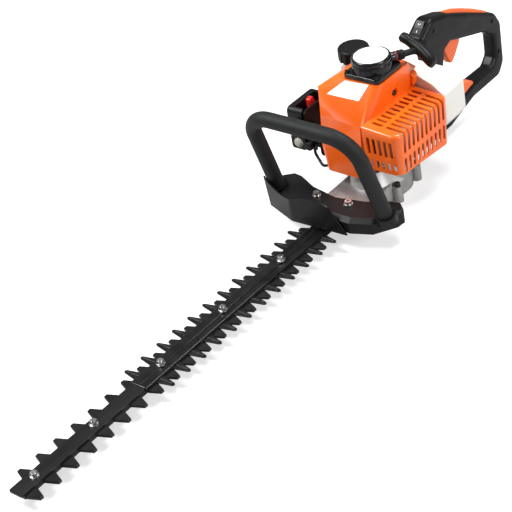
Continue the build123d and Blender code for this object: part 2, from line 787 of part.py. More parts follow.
plug_y = head_y + 11
with BuildPart() as spark_plug:
    with BuildSketch(Plane.XY.offset(cylinder_z + 19)):
        with Locations((0, plug_y)):
            Circle(5)
    extrude(amount=11.2)
    with BuildSketch(Plane.XY.offset(cylinder_z + 30.2)):
        with Locations((0, plug_y)):
            RegularPolygon(8, 6)
    extrude(amount=6)
    with BuildSketch(Plane.XY.offset(cylinder_z + 36.2)):
        with Locations((0, plug_y)):
            Circle(4)
    extrude(amount=14)
    with BuildSketch(Plane.XY.offset(cylinder_z + 38)):
        with Locations((0, plug_y)):
            Circle(7)
            Circle(4.03, mode=Mode.SUBTRACT)
    extrude(amount=12.4)
    with BuildSketch(Plane.XY.offset(cylinder_z + 50.4)):
        with Locations((0, plug_y)):
            Circle(7)
    extrude(amount=3.6)
spark_plug.part.label = "spark_plug"
export_step(spark_plug.part, "parts/spark_plug.step")

# ---- exhaust ----
with BuildPart() as muffler:
    with BuildSketch(Plane.XY.offset(86)):
        with Locations((61, -16)):
            RectangleRounded(46, 104, 8)
    extrude(amount=52)
    fillet(muffler.faces().sort_by(Axis.Z)[-1].edges(), radius=5)
    fillet(muffler.faces().sort_by(Axis.Z)[0].edges(), radius=5)
    with BuildSketch(Plane.YZ.offset(31.2)):
        with Locations((-50, cylinder_z)):
            Circle(6)
    extrude(amount=12)
    with BuildSketch(Plane.YZ.offset(36)):
        with Locations((-16, 112)):
            RectangleRounded(108, 46, 6)
    extrude(amount=2.4)
muffler.part.label = "muffler"
export_step(muffler.part, "parts/muffler.step")

# ---- fuel tank and cap ----
cap_x = -88.0
cap_y = 70.5
cap_low_z = 158.5             # lower edge of the fuel cap
cap_h = 19.5
tank_front_y = 56.0
tank_back_y = 116.0
with BuildPart() as fuel_tank:
    with BuildSketch(Plane.XZ.offset(-tank_back_y)):
        with BuildLine():
            Polyline((-106, 86), (-106, 146), (-96, 156), (-52, 158), (-24, 167), (22, 167), (60, 152), (78, 138),
                     (78, 92), (68, 80), (-98, 78), close=True)
        make_face()
    extrude(amount=tank_back_y - tank_front_y)
    with BuildSketch(Plane.YZ.offset(-120)):
        with BuildLine():
            Polyline((88, 200), (88, 167), (tank_back_y + 1, 146), (140, 200), close=True)
        make_face()
    extrude(amount=240, mode=Mode.SUBTRACT)
    corner_edges = [
        edge for edge in fuel_tank.edges()
        if edge.center().Y > tank_back_y - 2 and abs(edge.tangent_at(0.5).Z) > 0.6
    ]
    fillet(corner_edges, radius=14)
    fillet(fuel_tank.edges().group_by(Axis.X)[-1], radius=4)
    with BuildSketch(Plane.XY.offset(86)):
        with Locations((-15, 83)):
            RectangleRounded(172, 48, 8)
    extrude(amount=48.5, mode=Mode.SUBTRACT)
    with BuildSketch(Plane.XY.offset(134)):
        with Locations((-40, 76)):
            RectangleRounded(104, 34, 6)
    extrude(amount=19, mode=Mode.SUBTRACT)
    with BuildSketch(Plane.XY.offset(cap_low_z - 4)):
        with Locations((cap_x, cap_y)):
            Circle(12.9)
    extrude(amount=12)
    with BuildSketch(Plane.XY.offset(cap_low_z - 10)):
        with Locations((cap_x, cap_y)):
            Circle(10.5)
    extrude(amount=20, mode=Mode.SUBTRACT)
    with BuildSketch(Plane.XZ.offset(-tank_front_y - 10)):
        with Locations((-70, 96)):
            Circle(2.6)
    extrude(amount=20, mode=Mode.SUBTRACT)
fuel_tank.part.label = "fuel_tank"
export_step(fuel_tank.part, "parts/fuel_tank.step")

with BuildPart() as fuel_cap:
    with BuildSketch(Plane.XY.offset(cap_low_z)):
        with Locations((cap_x, cap_y)):
            Circle(24)
    extrude(amount=cap_h)
    fillet(fuel_cap.faces().sort_by(Axis.Z)[-1].edges(), radius=4)
    with BuildSketch(Plane.XY.offset(cap_low_z)):
        with Locations((cap_x, cap_y)):
            Circle(13.2)
    extrude(amount=cap_h - 6, mode=Mode.SUBTRACT)
    with BuildSketch(Plane.XY.offset(cap_low_z)):
        with Locations((cap_x, cap_y)):
            with PolarLocations(25, 14):
                Circle(2.6)
    extrude(amount=cap_h - 4, mode=Mode.SUBTRACT)
    with BuildSketch(Plane.XY.offset(cap_low_z - 5)):
        with Locations((cap_x, cap_y)):
            Circle(10.2)
            Circle(8, mode=Mode.SUBTRACT)
    extrude(amount=cap_h)
fuel_cap.part.label = "fuel_cap"
export_step(fuel_cap.part, "parts/fuel_cap.step")

# ---- intake side ----
with BuildPart() as intake_block:
    with BuildSketch(Plane.YZ.offset(-31.2)):
        with Locations((-46, cylinder_z)):
            RectangleRounded(24, 24, 4)
            Circle(5, mode=Mode.SUBTRACT)
    extrude(amount=-36.6)
intake_block.part.label = "intake_block"
export_step(intake_block.part, "parts/intake_block.step")

with BuildPart() as carburettor:
    with BuildSketch(Plane.YZ.offset(-68)):
        with Locations((-46, cylinder_z)):
            RectangleRounded(26, 28, 3)
            Circle(5.5, mode=Mode.SUBTRACT)
    extrude(amount=-25.8)
    with BuildSketch(Plane.XZ.offset(58)):
        with Locations((-103, 84)):
            RectangleRounded(26, 22, 4)
            Circle(8.4, mode=Mode.SUBTRACT)
    extrude(amount=8)
    with BuildSketch(Plane.XZ.offset(56)):
        with Locations((-85, 84)):
            Rectangle(17.6, 22)
    extrude(amount=2)
carburettor.part.label = "carburettor"
export_step(carburettor.part, "parts/carburettor.step")

with BuildPart() as primer_bulb:
    with BuildSketch(Plane.XZ.offset(62)):
        with Locations((-103, 84)):
            Circle(8)
    extrude(amount=8)
    fillet(primer_bulb.faces().sort_by(Axis.Y)[0].edges(), radius=6)
primer_bulb.part.label = "primer_bulb"
export_step(primer_bulb.part, "parts/primer_bulb.step")

with BuildPart() as cable_adjuster:
    with BuildSketch(Plane.XZ.offset(59.1)):
        with Locations((-82, 84)):
            Circle(4)
    extrude(amount=4)
    with BuildSketch(Plane.XZ.offset(63)):
        with Locations((-82, 84)):
            Circle(7)
    extrude(amount=8)
    fillet(cable_adjuster.faces().sort_by(Axis.Y)[0].edges(), radius=2)
cable_adjuster.part.label = "cable_adjuster"
export_step(cable_adjuster.part, "parts/cable_adjuster.step")

with BuildPart() as air_cleaner_base:
    with BuildSketch(Plane.YZ.offset(-94)):
        with Locations((-25, 108)):
            RectangleRounded(60, 46, 6)
        with Locations((-46, cylinder_z)):
            Circle(6, mode=Mode.SUBTRACT)
    extrude(amount=-3)
    with BuildSketch(Plane.XY.offset(100)):
        with Locations((-82, 3.2)):
            RectangleRounded(28, 6, 2)
    extrude(amount=34)
air_cleaner_base.part.label = "air_cleaner_base"
export_step(air_cleaner_base.part, "parts/air_cleaner_base.step")

with BuildPart() as air_filter:
    with BuildSketch(Plane.YZ.offset(-98)):
        with Locations((-25, 100)):
            RectangleRounded(50, 26, 4)
    extrude(amount=-11)
air_filter.part.label = "air_filter"
export_step(air_filter.part, "parts/air_filter.step")

with BuildPart() as air_cleaner_cover:
    with BuildSketch(Plane.YZ.offset(-97.2)):
        with Locations((-25, 108)):
            RectangleRounded(66, 54, 9)
    extrude(amount=-29)
    fillet(air_cleaner_cover.faces().sort_by(Axis.X)[0].edges(), radius=5)
    with BuildSketch(Plane.YZ.offset(-97)):
        with Locations((-25, 100)):
            Rectangle(54, 32)
    extrude(amount=-25, mode=Mode.SUBTRACT)
    with BuildSketch(Plane.XY.offset(118)):
        with Locations((-104, -27)):
            Rectangle(18, 48)
    extrude(amount=30, mode=Mode.SUBTRACT)
air_cleaner_cover.part.label = "air_cleaner_cover"
export_step(air_cleaner_cover.part, "parts/air_cleaner_cover.step")

with BuildPart() as choke_lever:
    with BuildSketch(Plane.YZ.offset(-101)):
        with BuildLine():
            FilletPolyline((-30, 119.5), (-18, 119.5), (-17, 128), (-21, 139), (-30, 137), (-30, 119.5),
                           radius=2, close=True)
        make_face()
    extrude(amount=-7)
    with BuildSketch(Plane.YZ.offset(-97.5)):
        with Locations((-24, 123)):
            Circle(3)
    extrude(amount=-4)
choke_lever.part.label = "choke_lever"
export_step(choke_lever.part, "parts/choke_lever.step")

with BuildPart() as cover_knob:
    with BuildSketch(Plane.XZ.offset(58.4)):
        with Locations((-104, 112)):
            Circle(8)
    extrude(amount=10)
    fillet(cover_knob.faces().sort_by(Axis.Y)[0].edges(), radius=3)
cover_knob.part.label = "cover_knob"
export_step(cover_knob.part, "parts/cover_knob.step")

with BuildPart() as fuel_hose:
    with BuildLine() as hose_line:
        FilletPolyline((-72, -52, 77.8), (-72, -52, 60), (-74, -10, 58), (-76, 30, 66), (-70, 38, 96), (-70, 57, 96),
                       radius=9)
    with BuildSketch(Plane(origin=hose_line.line @ 0, z_dir=hose_line.line % 0)):
        Circle(2.4)
    sweep(path=hose_line.line)
fuel_hose.part.label = "fuel_hose"
export_step(fuel_hose.part, "parts/fuel_hose.step")

with BuildPart() as throttle_cable:
    with BuildLine() as cable_line:
        FilletPolyline((-88, -50, 77.8), (-88, -50, 60), (-70, -58, 47), (-50, -40, 46.5), (-48, 20, 46),
                       (-44, 96, 46), (-30, 132, 46), (-15.2, 132, 46), radius=6)
    with BuildSketch(Plane(origin=cable_line.line @ 0, z_dir=cable_line.line % 0)):
        Circle(2.2)
    sweep(path=cable_line.line)
throttle_cable.part.label = "throttle_cable"
export_step(throttle_cable.part, "parts/throttle_cable.step")

# ================= covers =================

cover_sections = [
    (-54, 28, -72, 48, cover_low_z, 10),
    (-62, 28, -68, 52, cover_mid_z, 12),
    (-59, 31, -46, 51, 172, 14),
    (-52, 32.5, -38, 48, 183, 12),
    (-44, 33, -34, 46, cover_top_z, 12),
]
wall_screws = [
    ((5, -60.5, 152), (0, -0.8, 0.6)),
    ((30.6, 4, 161), (1, 0, 0.12)),
    ((26, 49.5, 163), (0.25, 0.95, 0.2)),
    ((-61.4, 20, 140), (-1, 0, 0.1)),
]


with BuildPart() as cover_hollow:
    for (x0, x1, y0, y1, z, corner), lift in zip(cover_sections, (-1, 0, 0, 0, -cover_wall)):
        with BuildSketch(Plane.XY.offset(z + lift)):
            with Locations(((x0 + x1) / 2, (y0 + y1) / 2)):
                RectangleRounded(x1 - x0 - 2 * cover_wall, y1 - y0 - 2 * cover_wall, corner - cover_wall)
    loft(ruled=True)

with BuildPart() as engine_cover:
    for x0, x1, y0, y1, z, corner in cover_sections:
        with BuildSketch(Plane.XY.offset(z)):
            with Locations(((x0 + x1) / 2, (y0 + y1) / 2)):
                RectangleRounded(x1 - x0, y1 - y0, corner)
    loft(ruled=True)
    add(cover_hollow.part, mode=Mode.SUBTRACT)
    with BuildSketch(Plane.XY.offset(cover_top_z - 10)):
        Circle(23)
    extrude(amount=20, mode=Mode.SUBTRACT)
    with BuildSketch(Plane.YZ.offset(20)):
        with Locations((-9, 99)):
            RectangleRounded(108, 98, 5)
    extrude(amount=12, mode=Mode.SUBTRACT)
    with BuildSketch(Plane.YZ.offset(-50)):
        with Locations((-46, cylinder_z)):
            Rectangle(28, 28)
    extrude(amount=-20, mode=Mode.SUBTRACT)
    for spot, out in wall_screws:
        with BuildSketch(Plane(origin=spot, z_dir=out).offset(-8)):
            Circle(4.4)
        extrude(amount=16, mode=Mode.SUBTRACT)
engine_cover.part.label = "engine_cover"
export_step(engine_cover.part, "parts/engine_cover.step")

with BuildPart() as cover_screws:
    for spot, out in wall_screws:
        screw_plane = Plane(origin=spot, z_dir=out)
        with BuildSketch(screw_plane.offset(-3.5)):
            Circle(4.2)
        extrude(amount=3.6)
        with BuildSketch(screw_plane.offset(-7)):
            Circle(2)
        extrude(amount=4)
        with BuildSketch(screw_plane.offset(0.1)):
            RegularPolygon(2.1, 6)
        extrude(amount=-2.4, mode=Mode.SUBTRACT)
    with BuildSketch(Plane.XY.offset(cover_top_z + 0.2)):
        with Locations(*starter_screw_spots):
            Circle(2.3)
    extrude(amount=starter_flange_t)
    with BuildSketch(Plane.XY.offset(cover_top_z + starter_flange_t)):
        with Locations(*starter_screw_spots):
            Circle(3.2)
    extrude(amount=2.6)
    with BuildSketch(Plane.XY.offset(cover_top_z + starter_flange_t + 2.6)):
        with Locations(*starter_screw_spots):
            Rectangle(4.6, 1)
            Rectangle(1, 4.6)
    extrude(amount=-1.2, mode=Mode.SUBTRACT)
cover_screws.part.label = "cover_screws"
export_step(cover_screws.part, "parts/cover_screws.step")

slot_pitch = 9.6
with BuildPart() as muffler_cover:
    cover_span = muffler_back_y - muffler_front_y
    cover_mid = (muffler_back_y + muffler_front_y) / 2
    with BuildSketch(Plane.XY.offset(muffler_low_z)):
        with Locations(((muffler_left_x + muffler_right_x) / 2, cover_mid)):
            Rectangle(muffler_right_x - muffler_left_x, cover_span)
    extrude(amount=muffler_top_z - muffler_low_z)
    fillet(muffler_cover.faces().sort_by(Axis.X)[-1].edges().filter_by(Axis.Z), radius=9)
    outer_top = muffler_cover.faces().sort_by(Axis.Z)[-1]
    fillet([edge for edge in outer_top.edges() if edge.center().X > muffler_left_x + 1], radius=7)
    with BuildSketch(Plane.XY.offset(muffler_low_z)):
        with Locations(((muffler_left_x + muffler_right_x) / 2 - cover_wall, cover_mid)):
            RectangleRounded(muffler_right_x - muffler_left_x, cover_span - 2 * cover_wall, 7)
    extrude(amount=muffler_top_z - muffler_low_z - cover_wall, mode=Mode.SUBTRACT)
    with BuildSketch(Plane.YZ.offset(0)):
        with BuildLine():
            Polyline((-90, 60), (-90, 82), (60, 68), (60, 60), close=True)
        make_face()
    extrude(amount=100, mode=Mode.SUBTRACT)
    with BuildSketch(Plane.XY.offset(muffler_top_z + 1)):
        with Locations((60, cover_mid + 2)):
            with GridLocations(1, slot_pitch, 1, 10):
                SlotOverall(34, 4.2)
    extrude(amount=-6, mode=Mode.SUBTRACT)
    with BuildSketch(Plane.YZ.offset(muffler_right_x + 1)):
        with Locations((cover_mid, 127)):
            with GridLocations(slot_pitch + 0.4, 1, 11, 1):
                SlotOverall(32, 4.6, rotation=90)
        with Locations((cover_mid + 3, 92)):
            with GridLocations(slot_pitch + 0.4, 1, 10, 1):
                SlotOverall(20, 4.2, rotation=90)
    extrude(amount=-6, mode=Mode.SUBTRACT)
    with BuildSketch(Plane.XZ.offset(-muffler_front_y + 1)):
        with Locations((56, 127)):
            with GridLocations(8.6, 1, 5, 1):
                SlotOverall(30, 4.2, rotation=90)
        with Locations((58, 96)):
            with GridLocations(8.6, 1, 5, 1):
                SlotOverall(17, 4.2, rotation=90)
    extrude(amount=-6, mode=Mode.SUBTRACT)
muffler_cover.part.label = "muffler_cover"
export_step(muffler_cover.part, "parts/muffler_cover.step")

# ================= recoil starter =================

pull = (math.cos(math.radians(pull_angle)), math.sin(math.radians(pull_angle)), 0)
rope_z = 204.8


def pull_plane(distance):
    """Plane square to the rope at `distance` from the crank axis."""
    return Plane(
        origin=(pull[0] * distance, pull[1] * distance, rope_z), x_dir=(-pull[1], pull[0], 0), z_dir=pull
    )


with BuildPart() as starter_housing:
    with BuildSketch(Plane.XY.offset(cover_top_z)):
        RectangleRounded(2 * starter_half, 2 * starter_half, 7)
    extrude(amount=starter_flange_t)
    chamfer(starter_housing.faces().sort_by(Axis.Z)[-1].edges(), length=1.2)
    with BuildSketch(Plane.XY.offset(cover_top_z)):
        Circle(starter_drum_r)
    extrude(amount=starter_top_z - cover_top_z)
    fillet(starter_housing.faces().sort_by(Axis.Z)[-1].edges(), radius=2.5)
    with BuildSketch(pull_plane(20)):
        Circle(6.6)
    extrude(amount=15)
    with BuildSketch(Plane.XY.offset(cover_top_z)):
        Circle(26)
    extrude(amount=25.3, mode=Mode.SUBTRACT)
    with BuildSketch(Plane.XY.offset(cover_top_z + 10)):
        Circle(3)
    extrude(amount=16)
    with BuildSketch(pull_plane(15)):
        Circle(4)
    extrude(amount=40, mode=Mode.SUBTRACT)
    with BuildSketch(Plane.XY.offset(cover_top_z - 1)):
        with Locations(*starter_screw_spots):
            Circle(2.4)
    extrude(amount=12, mode=Mode.SUBTRACT)
starter_housing.part.label = "starter_housing"
export_step(starter_housing.part, "parts/starter_housing.step")

with BuildPart() as starter_badge:
    with BuildSketch(Plane.XY.offset(starter_top_z)):
        Circle(25.5)
    extrude(amount=0.7)
starter_badge.part.label = "starter_badge"
export_step(starter_badge.part, "parts/starter_badge.step")

with BuildPart() as starter_pulley:
    with BuildSketch(Plane.XY.offset(196.5)):
        Circle(24)
        Circle(3.05, mode=Mode.SUBTRACT)
    extrude(amount=11)
    with BuildSketch(Plane.XY.offset(201.5)):
        Circle(25)
        Circle(19, mode=Mode.SUBTRACT)
    extrude(amount=4.4, mode=Mode.SUBTRACT)
starter_pulley.part.label = "starter_pulley"
export_step(starter_pulley.part, "parts/starter_pulley.step")

with BuildPart() as starter_rope:
    with BuildSketch(Plane.XY.offset(201.9)):
        Circle(23)
        Circle(19.05, mode=Mode.SUBTRACT)
    extrude(amount=3.6)
starter_rope.part.label = "starter_rope"
export_step(starter_rope.part, "parts/starter_rope.step")

spring_turns = 5
spring_steps = 60
spring_inner = [
    (5 + 18 * k / spring_steps, 2 * math.pi * spring_turns * k / spring_steps) for k in range(spring_steps + 1)
]
with BuildPart() as recoil_spring:
    with BuildSketch(Plane.XY.offset(208.5)):
        with BuildLine():
            inner = [(r * math.cos(a), r * math.sin(a)) for r, a in spring_inner]
            outer = [((r + 0.8) * math.cos(a), (r + 0.8) * math.sin(a)) for r, a in reversed(spring_inner)]
            Polyline(*inner, *outer, close=True)
        make_face()
    extrude(amount=6)
recoil_spring.part.label = "recoil_spring"
export_step(recoil_spring.part, "parts/recoil_spring.step")

with BuildPart() as rope_guide:
    with BuildSketch(pull_plane(29.5)):
        Circle(3.95)
        Circle(2.4, mode=Mode.SUBTRACT)
    extrude(amount=6)
    with BuildSketch(pull_plane(35.2)):
        Circle(6.5)
        Circle(2.4, mode=Mode.SUBTRACT)
    extrude(amount=2.6)
rope_guide.part.label = "rope_guide"
export_step(rope_guide.part, "parts/rope_guide.step")

with BuildPart() as starter_handle:
    with BuildSketch(pull_plane(38.1)):
        Circle(6.6)
    extrude(amount=11)
    with BuildSketch(pull_plane(49)):
        Circle(5)
    extrude(amount=20)
    bar_plane = Plane(
        origin=pull_plane(72).origin, x_dir=pull, z_dir=(-pull[1] * 0.94, pull[0] * 0.94, 0.342)
    )
    with BuildSketch(bar_plane.offset(-34)):
        RectangleRounded(15, 16, 6)
    extrude(amount=68)
starter_handle.part.label = "starter_handle"
export_step(starter_handle.part, "parts/starter_handle.step")

# ================= rear handle =================

handle_outer = [
    (44, 28), (44, 44), (100, 42), (122, 60), (122, 150), (106, 176), (103, 191), (134, 211), (170, 201),
    (224, 176), (274, 151), (300, 136), (315, 116), (315, 48), (300, 29), (226, 29), (160, 14), (100, 14),
]
handle_inner = [
    (152, 40), (226, 54), (280, 54), (291, 66), (291, 104), (269, 120), (204, 142), (176, 152), (160, 146),
    (152, 122),
]
switch_spot = (118.5, 200.5)
trigger_pivot = (170.0, 160.0)
lockout_pivot = (188.0, 184.0)

with BuildPart() as handle_solid:
    with BuildSketch(Plane.YZ.offset(-rear_half)):
        with BuildLine():
            FilletPolyline(*handle_outer, radius=4, close=True)
        make_face()
        with BuildLine():
            FilletPolyline(*handle_inner, radius=5, close=True)
        make_face(mode=Mode.SUBTRACT)
    extrude(amount=2 * rear_half)
    side_faces = handle_solid.faces().filter_by(Axis.X)
    chamfer(side_faces.edges(), length=3)
    for side in (-1, 1):
        with BuildSketch(Plane.YZ.offset(side * loop_r)):
            with BuildLine():
                Polyline((155, 0), (155, 34), (262, 95), (280, 230), (340, 230), (340, 0), close=True)
            make_face()
        extrude(amount=side * 5, mode=Mode.SUBTRACT)
    with BuildSketch(Plane.YZ.offset(-7)):
        with BuildLine():
            Polyline((160, 168), (176, 172), (218, 154), (226, 128), (160, 110), close=True)
        make_face()
    extrude(amount=14, mode=Mode.SUBTRACT)
    with BuildSketch(Plane.YZ.offset(-6.5)):
        with BuildLine():
            Polyline((180, 230), (180, 178), (240, 154), (292, 129), (292, 180), close=True)
        make_face()
    extrude(amount=13, mode=Mode.SUBTRACT)
    switch_plane = Plane(origin=(0, *switch_spot), x_dir=(1, 0, 0), z_dir=(0, -0.561, 0.828))
    with BuildSketch(switch_plane.offset(-8)):
        Rectangle(15, 23)
    extrude(amount=20, mode=Mode.SUBTRACT)

for shell_name, kept in (("rear_handle_right", Keep.TOP), ("rear_handle_left", Keep.BOTTOM)):
    with BuildPart() as handle_shell:
        add(handle_solid.part)
        split(bisect_by=Plane.YZ, keep=kept)
    handle_shell.part.label = shell_name
    export_step(handle_shell.part, f"parts/{shell_name}.step")

with BuildPart() as throttle_trigger:
    with BuildSketch(Plane.YZ.offset(-6)):
        with BuildLine():
            FilletPolyline((164, 164), (175, 166), (204, 150), (210, 143), (190, 118), (182, 113), (174, 116),
                           (166, 140), radius=3, close=True)
        make_face()
    extrude(amount=12)
    chamfer(throttle_trigger.faces().filter_by(Axis.X).edges(), length=1.2)
    with BuildSketch(Plane.YZ.offset(-7)):
        with Locations(trigger_pivot):
            Circle(2.05)
    extrude(amount=14, mode=Mode.SUBTRACT)
throttle_trigger.part.label = "throttle_trigger"
export_step(throttle_trigger.part, "parts/throttle_trigger.step")

with BuildPart() as lockout_lever:
    with BuildSketch(Plane.YZ.offset(-5.5)):
        with BuildLine():
            Polyline((183, 192), (186, 181), (240, 163), (285, 141), (286, 147))
            Spline((286, 147), (262, 164), (234, 177), (208, 188), (183, 192))
        make_face()
    extrude(amount=11)
    with BuildSketch(Plane.YZ.offset(-7)):
        with Locations(lockout_pivot):
            Circle(1.6)
    extrude(amount=14, mode=Mode.SUBTRACT)
lockout_lever.part.label = "lockout_lever"
export_step(lockout_lever.part, "parts/lockout_lever.step")

with BuildPart() as stop_switch:
    with BuildSketch(Plane.YZ.offset(-7)):
        with BuildLine():
            switch_ends = [switch_plane.from_local_coords(point) for point in (
                (0, -10.5, 1), (0, -10.5, -3), (0, 0, -6), (0, 10.5, -3), (0, 10.5, 4), (0, 0, 1.5))]
            Polyline(*[(corner.Y, corner.Z) for corner in switch_ends], close=True)
        make_face()
    extrude(amount=14)
stop_switch.part.label = "stop_switch"
export_step(stop_switch.part, "parts/stop_switch.step")

with BuildPart() as handle_wedge:
    with BuildSketch(Plane.YZ.offset(-12)):
        with BuildLine():
            Polyline((190, 48), (224, 55.5), (222, 60), (190, 72), close=True)
        make_face()
    extrude(amount=24)
handle_wedge.part.label = "handle_wedge"
export_step(handle_wedge.part, "parts/handle_wedge.step")

loop_screw_spots = [(218, 38), (303, 70), (292, 128)]
handle_screw_spots = [(114, 27), (136, 190), (138, 110)] + loop_screw_spots
with BuildPart() as handle_fasteners:
    for screw_y, screw_zz in handle_screw_spots:
        seat_x = loop_r if (screw_y, screw_zz) in loop_screw_spots else rear_half
        with BuildSketch(Plane.YZ.offset(seat_x)):
            with Locations((screw_y, screw_zz)):
                Circle(3.6)
        extrude(amount=1.4)
        with BuildSketch(Plane.YZ.offset(seat_x + 1.4)):
            with Locations((screw_y, screw_zz)):
                RegularPolygon(1.8, 6)
        extrude(amount=-1, mode=Mode.SUBTRACT)
    for pivot, pin_r, half in ((trigger_pivot, 2, 7), (lockout_pivot, 1.55, 6.5)):
        with BuildSketch(Plane.YZ.offset(-half)):
            with Locations(pivot):
                Circle(pin_r)
        extrude(amount=2 * half)
handle_fasteners.part.label = "handle_fasteners"
export_step(handle_fasteners.part, "parts/handle_fasteners.step")

with BuildPart() as rubber_mounts:
    with BuildSketch(Plane.XZ.offset(-case_r - 2)):
        with Locations((-8, 37), (8, 37)):
            Circle(6)
    extrude(amount=-4)
    with BuildSketch(Plane.XZ.offset(-52)):
        with Locations((-40, 142), (10, 142)):
            Circle(5)
    extrude(amount=-4)
    with BuildSketch(Plane.XZ.offset(-tank_back_y)):
        with Locations((0, 130), (0, 100)):
            Circle(6)
    extrude(amount=-6)
rubber_mounts.part.label = "rubber_mounts"
export_step(rubber_mounts.part, "parts/rubber_mounts.step")
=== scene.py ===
"""Petrol hedge trimmer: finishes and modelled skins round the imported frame."""

import math

import bmesh
import bpy
from mathutils import Matrix, Vector
from mathutils.bvhtree import BVHTree


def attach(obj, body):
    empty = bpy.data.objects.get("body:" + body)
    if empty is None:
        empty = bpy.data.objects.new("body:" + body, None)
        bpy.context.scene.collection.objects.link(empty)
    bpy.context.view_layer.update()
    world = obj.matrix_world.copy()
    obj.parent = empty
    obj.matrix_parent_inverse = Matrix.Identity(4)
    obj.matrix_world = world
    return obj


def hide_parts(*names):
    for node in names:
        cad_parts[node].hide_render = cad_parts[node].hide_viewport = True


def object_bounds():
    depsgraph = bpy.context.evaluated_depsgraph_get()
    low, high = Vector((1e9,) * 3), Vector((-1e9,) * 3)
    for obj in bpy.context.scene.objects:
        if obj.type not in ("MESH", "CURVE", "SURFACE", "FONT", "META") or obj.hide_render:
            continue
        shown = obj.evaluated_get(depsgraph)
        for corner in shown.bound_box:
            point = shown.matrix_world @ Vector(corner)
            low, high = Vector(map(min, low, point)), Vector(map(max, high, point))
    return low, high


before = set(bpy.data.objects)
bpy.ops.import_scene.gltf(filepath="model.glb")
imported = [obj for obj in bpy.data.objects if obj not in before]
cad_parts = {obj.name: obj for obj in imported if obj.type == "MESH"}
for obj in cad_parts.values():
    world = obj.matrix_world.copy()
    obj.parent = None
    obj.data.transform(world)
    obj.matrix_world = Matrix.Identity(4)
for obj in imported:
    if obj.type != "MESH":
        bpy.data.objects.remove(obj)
cad_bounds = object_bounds()

MM = 0.001
FRAME_BODY = "engine_and_frame"

# Shapes are drawn in millimetres, as in the CAD model, and scaled when a piece is settled.
cover_wall = 2.6
pull_angle = 55                              # degrees from +X to the rope's way out
rope_height = 204.8
tooth_pitch = 32
guard_teeth = 12
guard_rows = ((1, -532.9), (-1, -542.1))     # side, and where that row's first tooth stands
switch_spot = Vector((0, 118.5, 200.5))
switch_outward = Vector((0, -0.561, 0.828))
switch_slope = Vector((0, 0.828, 0.561))


# ---------------------------------------------------------------- camera and studio

camera_place = (1.35019, -1.66895, 1.36243)
camera_right = (0.7730, 0.6148, -0.1568)
camera_back = (0.5823, -0.5892, 0.5602)
camera_lens = 119.95


def add_camera():
    """A long lens from the front right, a little above the engine."""
    data = bpy.data.cameras.new("camera")
    data.lens = camera_lens
    data.sensor_width = 36.0
    camera = bpy.data.objects.new("camera", data)
    right = Vector(camera_right).normalized()
    back = Vector(camera_back).normalized()
    up = back.cross(right).normalized()
    right = up.cross(back)
    turn = Matrix((right, up, back)).transposed().to_4x4()
    camera.matrix_world = Matrix.Translation(camera_place) @ turn
    bpy.context.scene.collection.objects.link(camera)
    bpy.context.scene.camera = camera


def add_lamp(name, place, target, size, power):
    """A soft square lamp at `place` that faces `target`."""
    data = bpy.data.lights.new(name, "AREA")
    data.size = size
    data.energy = power
    lamp = bpy.data.objects.new(name, data)
    lamp.location = place
    lamp.rotation_euler = (Vector(target) - Vector(place)).to_track_quat("-Z", "Y").to_euler()
    bpy.context.scene.collection.objects.link(lamp)


floor_gap = 0.0004


def add_studio():
    """A pale floor just under the tool, an even white sky and three soft lamps."""
    world = bpy.data.worlds.new("studio")
    world.use_nodes = True
    sky = world.node_tree.nodes["Background"]
    sky.inputs["Color"].default_value = (1.0, 1.0, 1.0, 1)
    sky.inputs["Strength"].default_value = 0.27
    bpy.context.scene.world = world
    middle = (0, -0.2, 0.1)
    add_lamp("key", (-1.5, -1.3, 2.4), middle, 0.9, 96)
    add_lamp("side", (2.6, 0.2, 1.3), middle, 0.8, 44)
    add_lamp("top", (0.3, 0.9, 2.6), middle, 1.0, 56)
    bm = bmesh.new()
    bmesh.ops.create_grid(bm, x_segments=1, y_segments=1, size=30.0)
    bmesh.ops.translate(bm, vec=(0, 0, cad_bounds[0][2] - floor_gap), verts=bm.verts)
    mesh = bpy.data.meshes.new("floor")
    bm.to_mesh(mesh)
    bm.free()
    floor = bpy.data.objects.new("floor", mesh)
    floor.data.materials.append(finishes["floor"])
    bpy.context.scene.collection.objects.link(floor)
    bpy.context.scene.view_settings.view_transform = "Standard"


# ---------------------------------------------------------------- finishes

finishes = {}


def add_noise(tree, scale, detail=3.0, stretch=(1, 1, 1)):
    """Noise on Object coordinates, squeezed along the axes by `stretch`."""
    coordinates = tree.nodes.new("ShaderNodeTexCoord")
    mapping = tree.nodes.new("ShaderNodeMapping")
    mapping.inputs["Scale"].default_value = stretch
    noise = tree.nodes.new("ShaderNodeTexNoise")
    noise.inputs["Scale"].default_value = scale
    noise.inputs["Detail"].default_value = detail
    tree.links.new(coordinates.outputs["Object"], mapping.inputs["Vector"])
    tree.links.new(mapping.outputs["Vector"], noise.inputs["Vector"])
    return noise.outputs["Fac"]


def add_range(tree, source, low, high):
    """Spreads a 0-1 pattern between two numbers."""
    spread = tree.nodes.new("ShaderNodeMapRange")
    spread.inputs["From Min"].default_value = 0.3
    spread.inputs["From Max"].default_value = 0.7
    spread.inputs["To Min"].default_value = low
    spread.inputs["To Max"].default_value = high
    tree.links.new(source, spread.inputs["Value"])
    return spread.outputs["Result"]


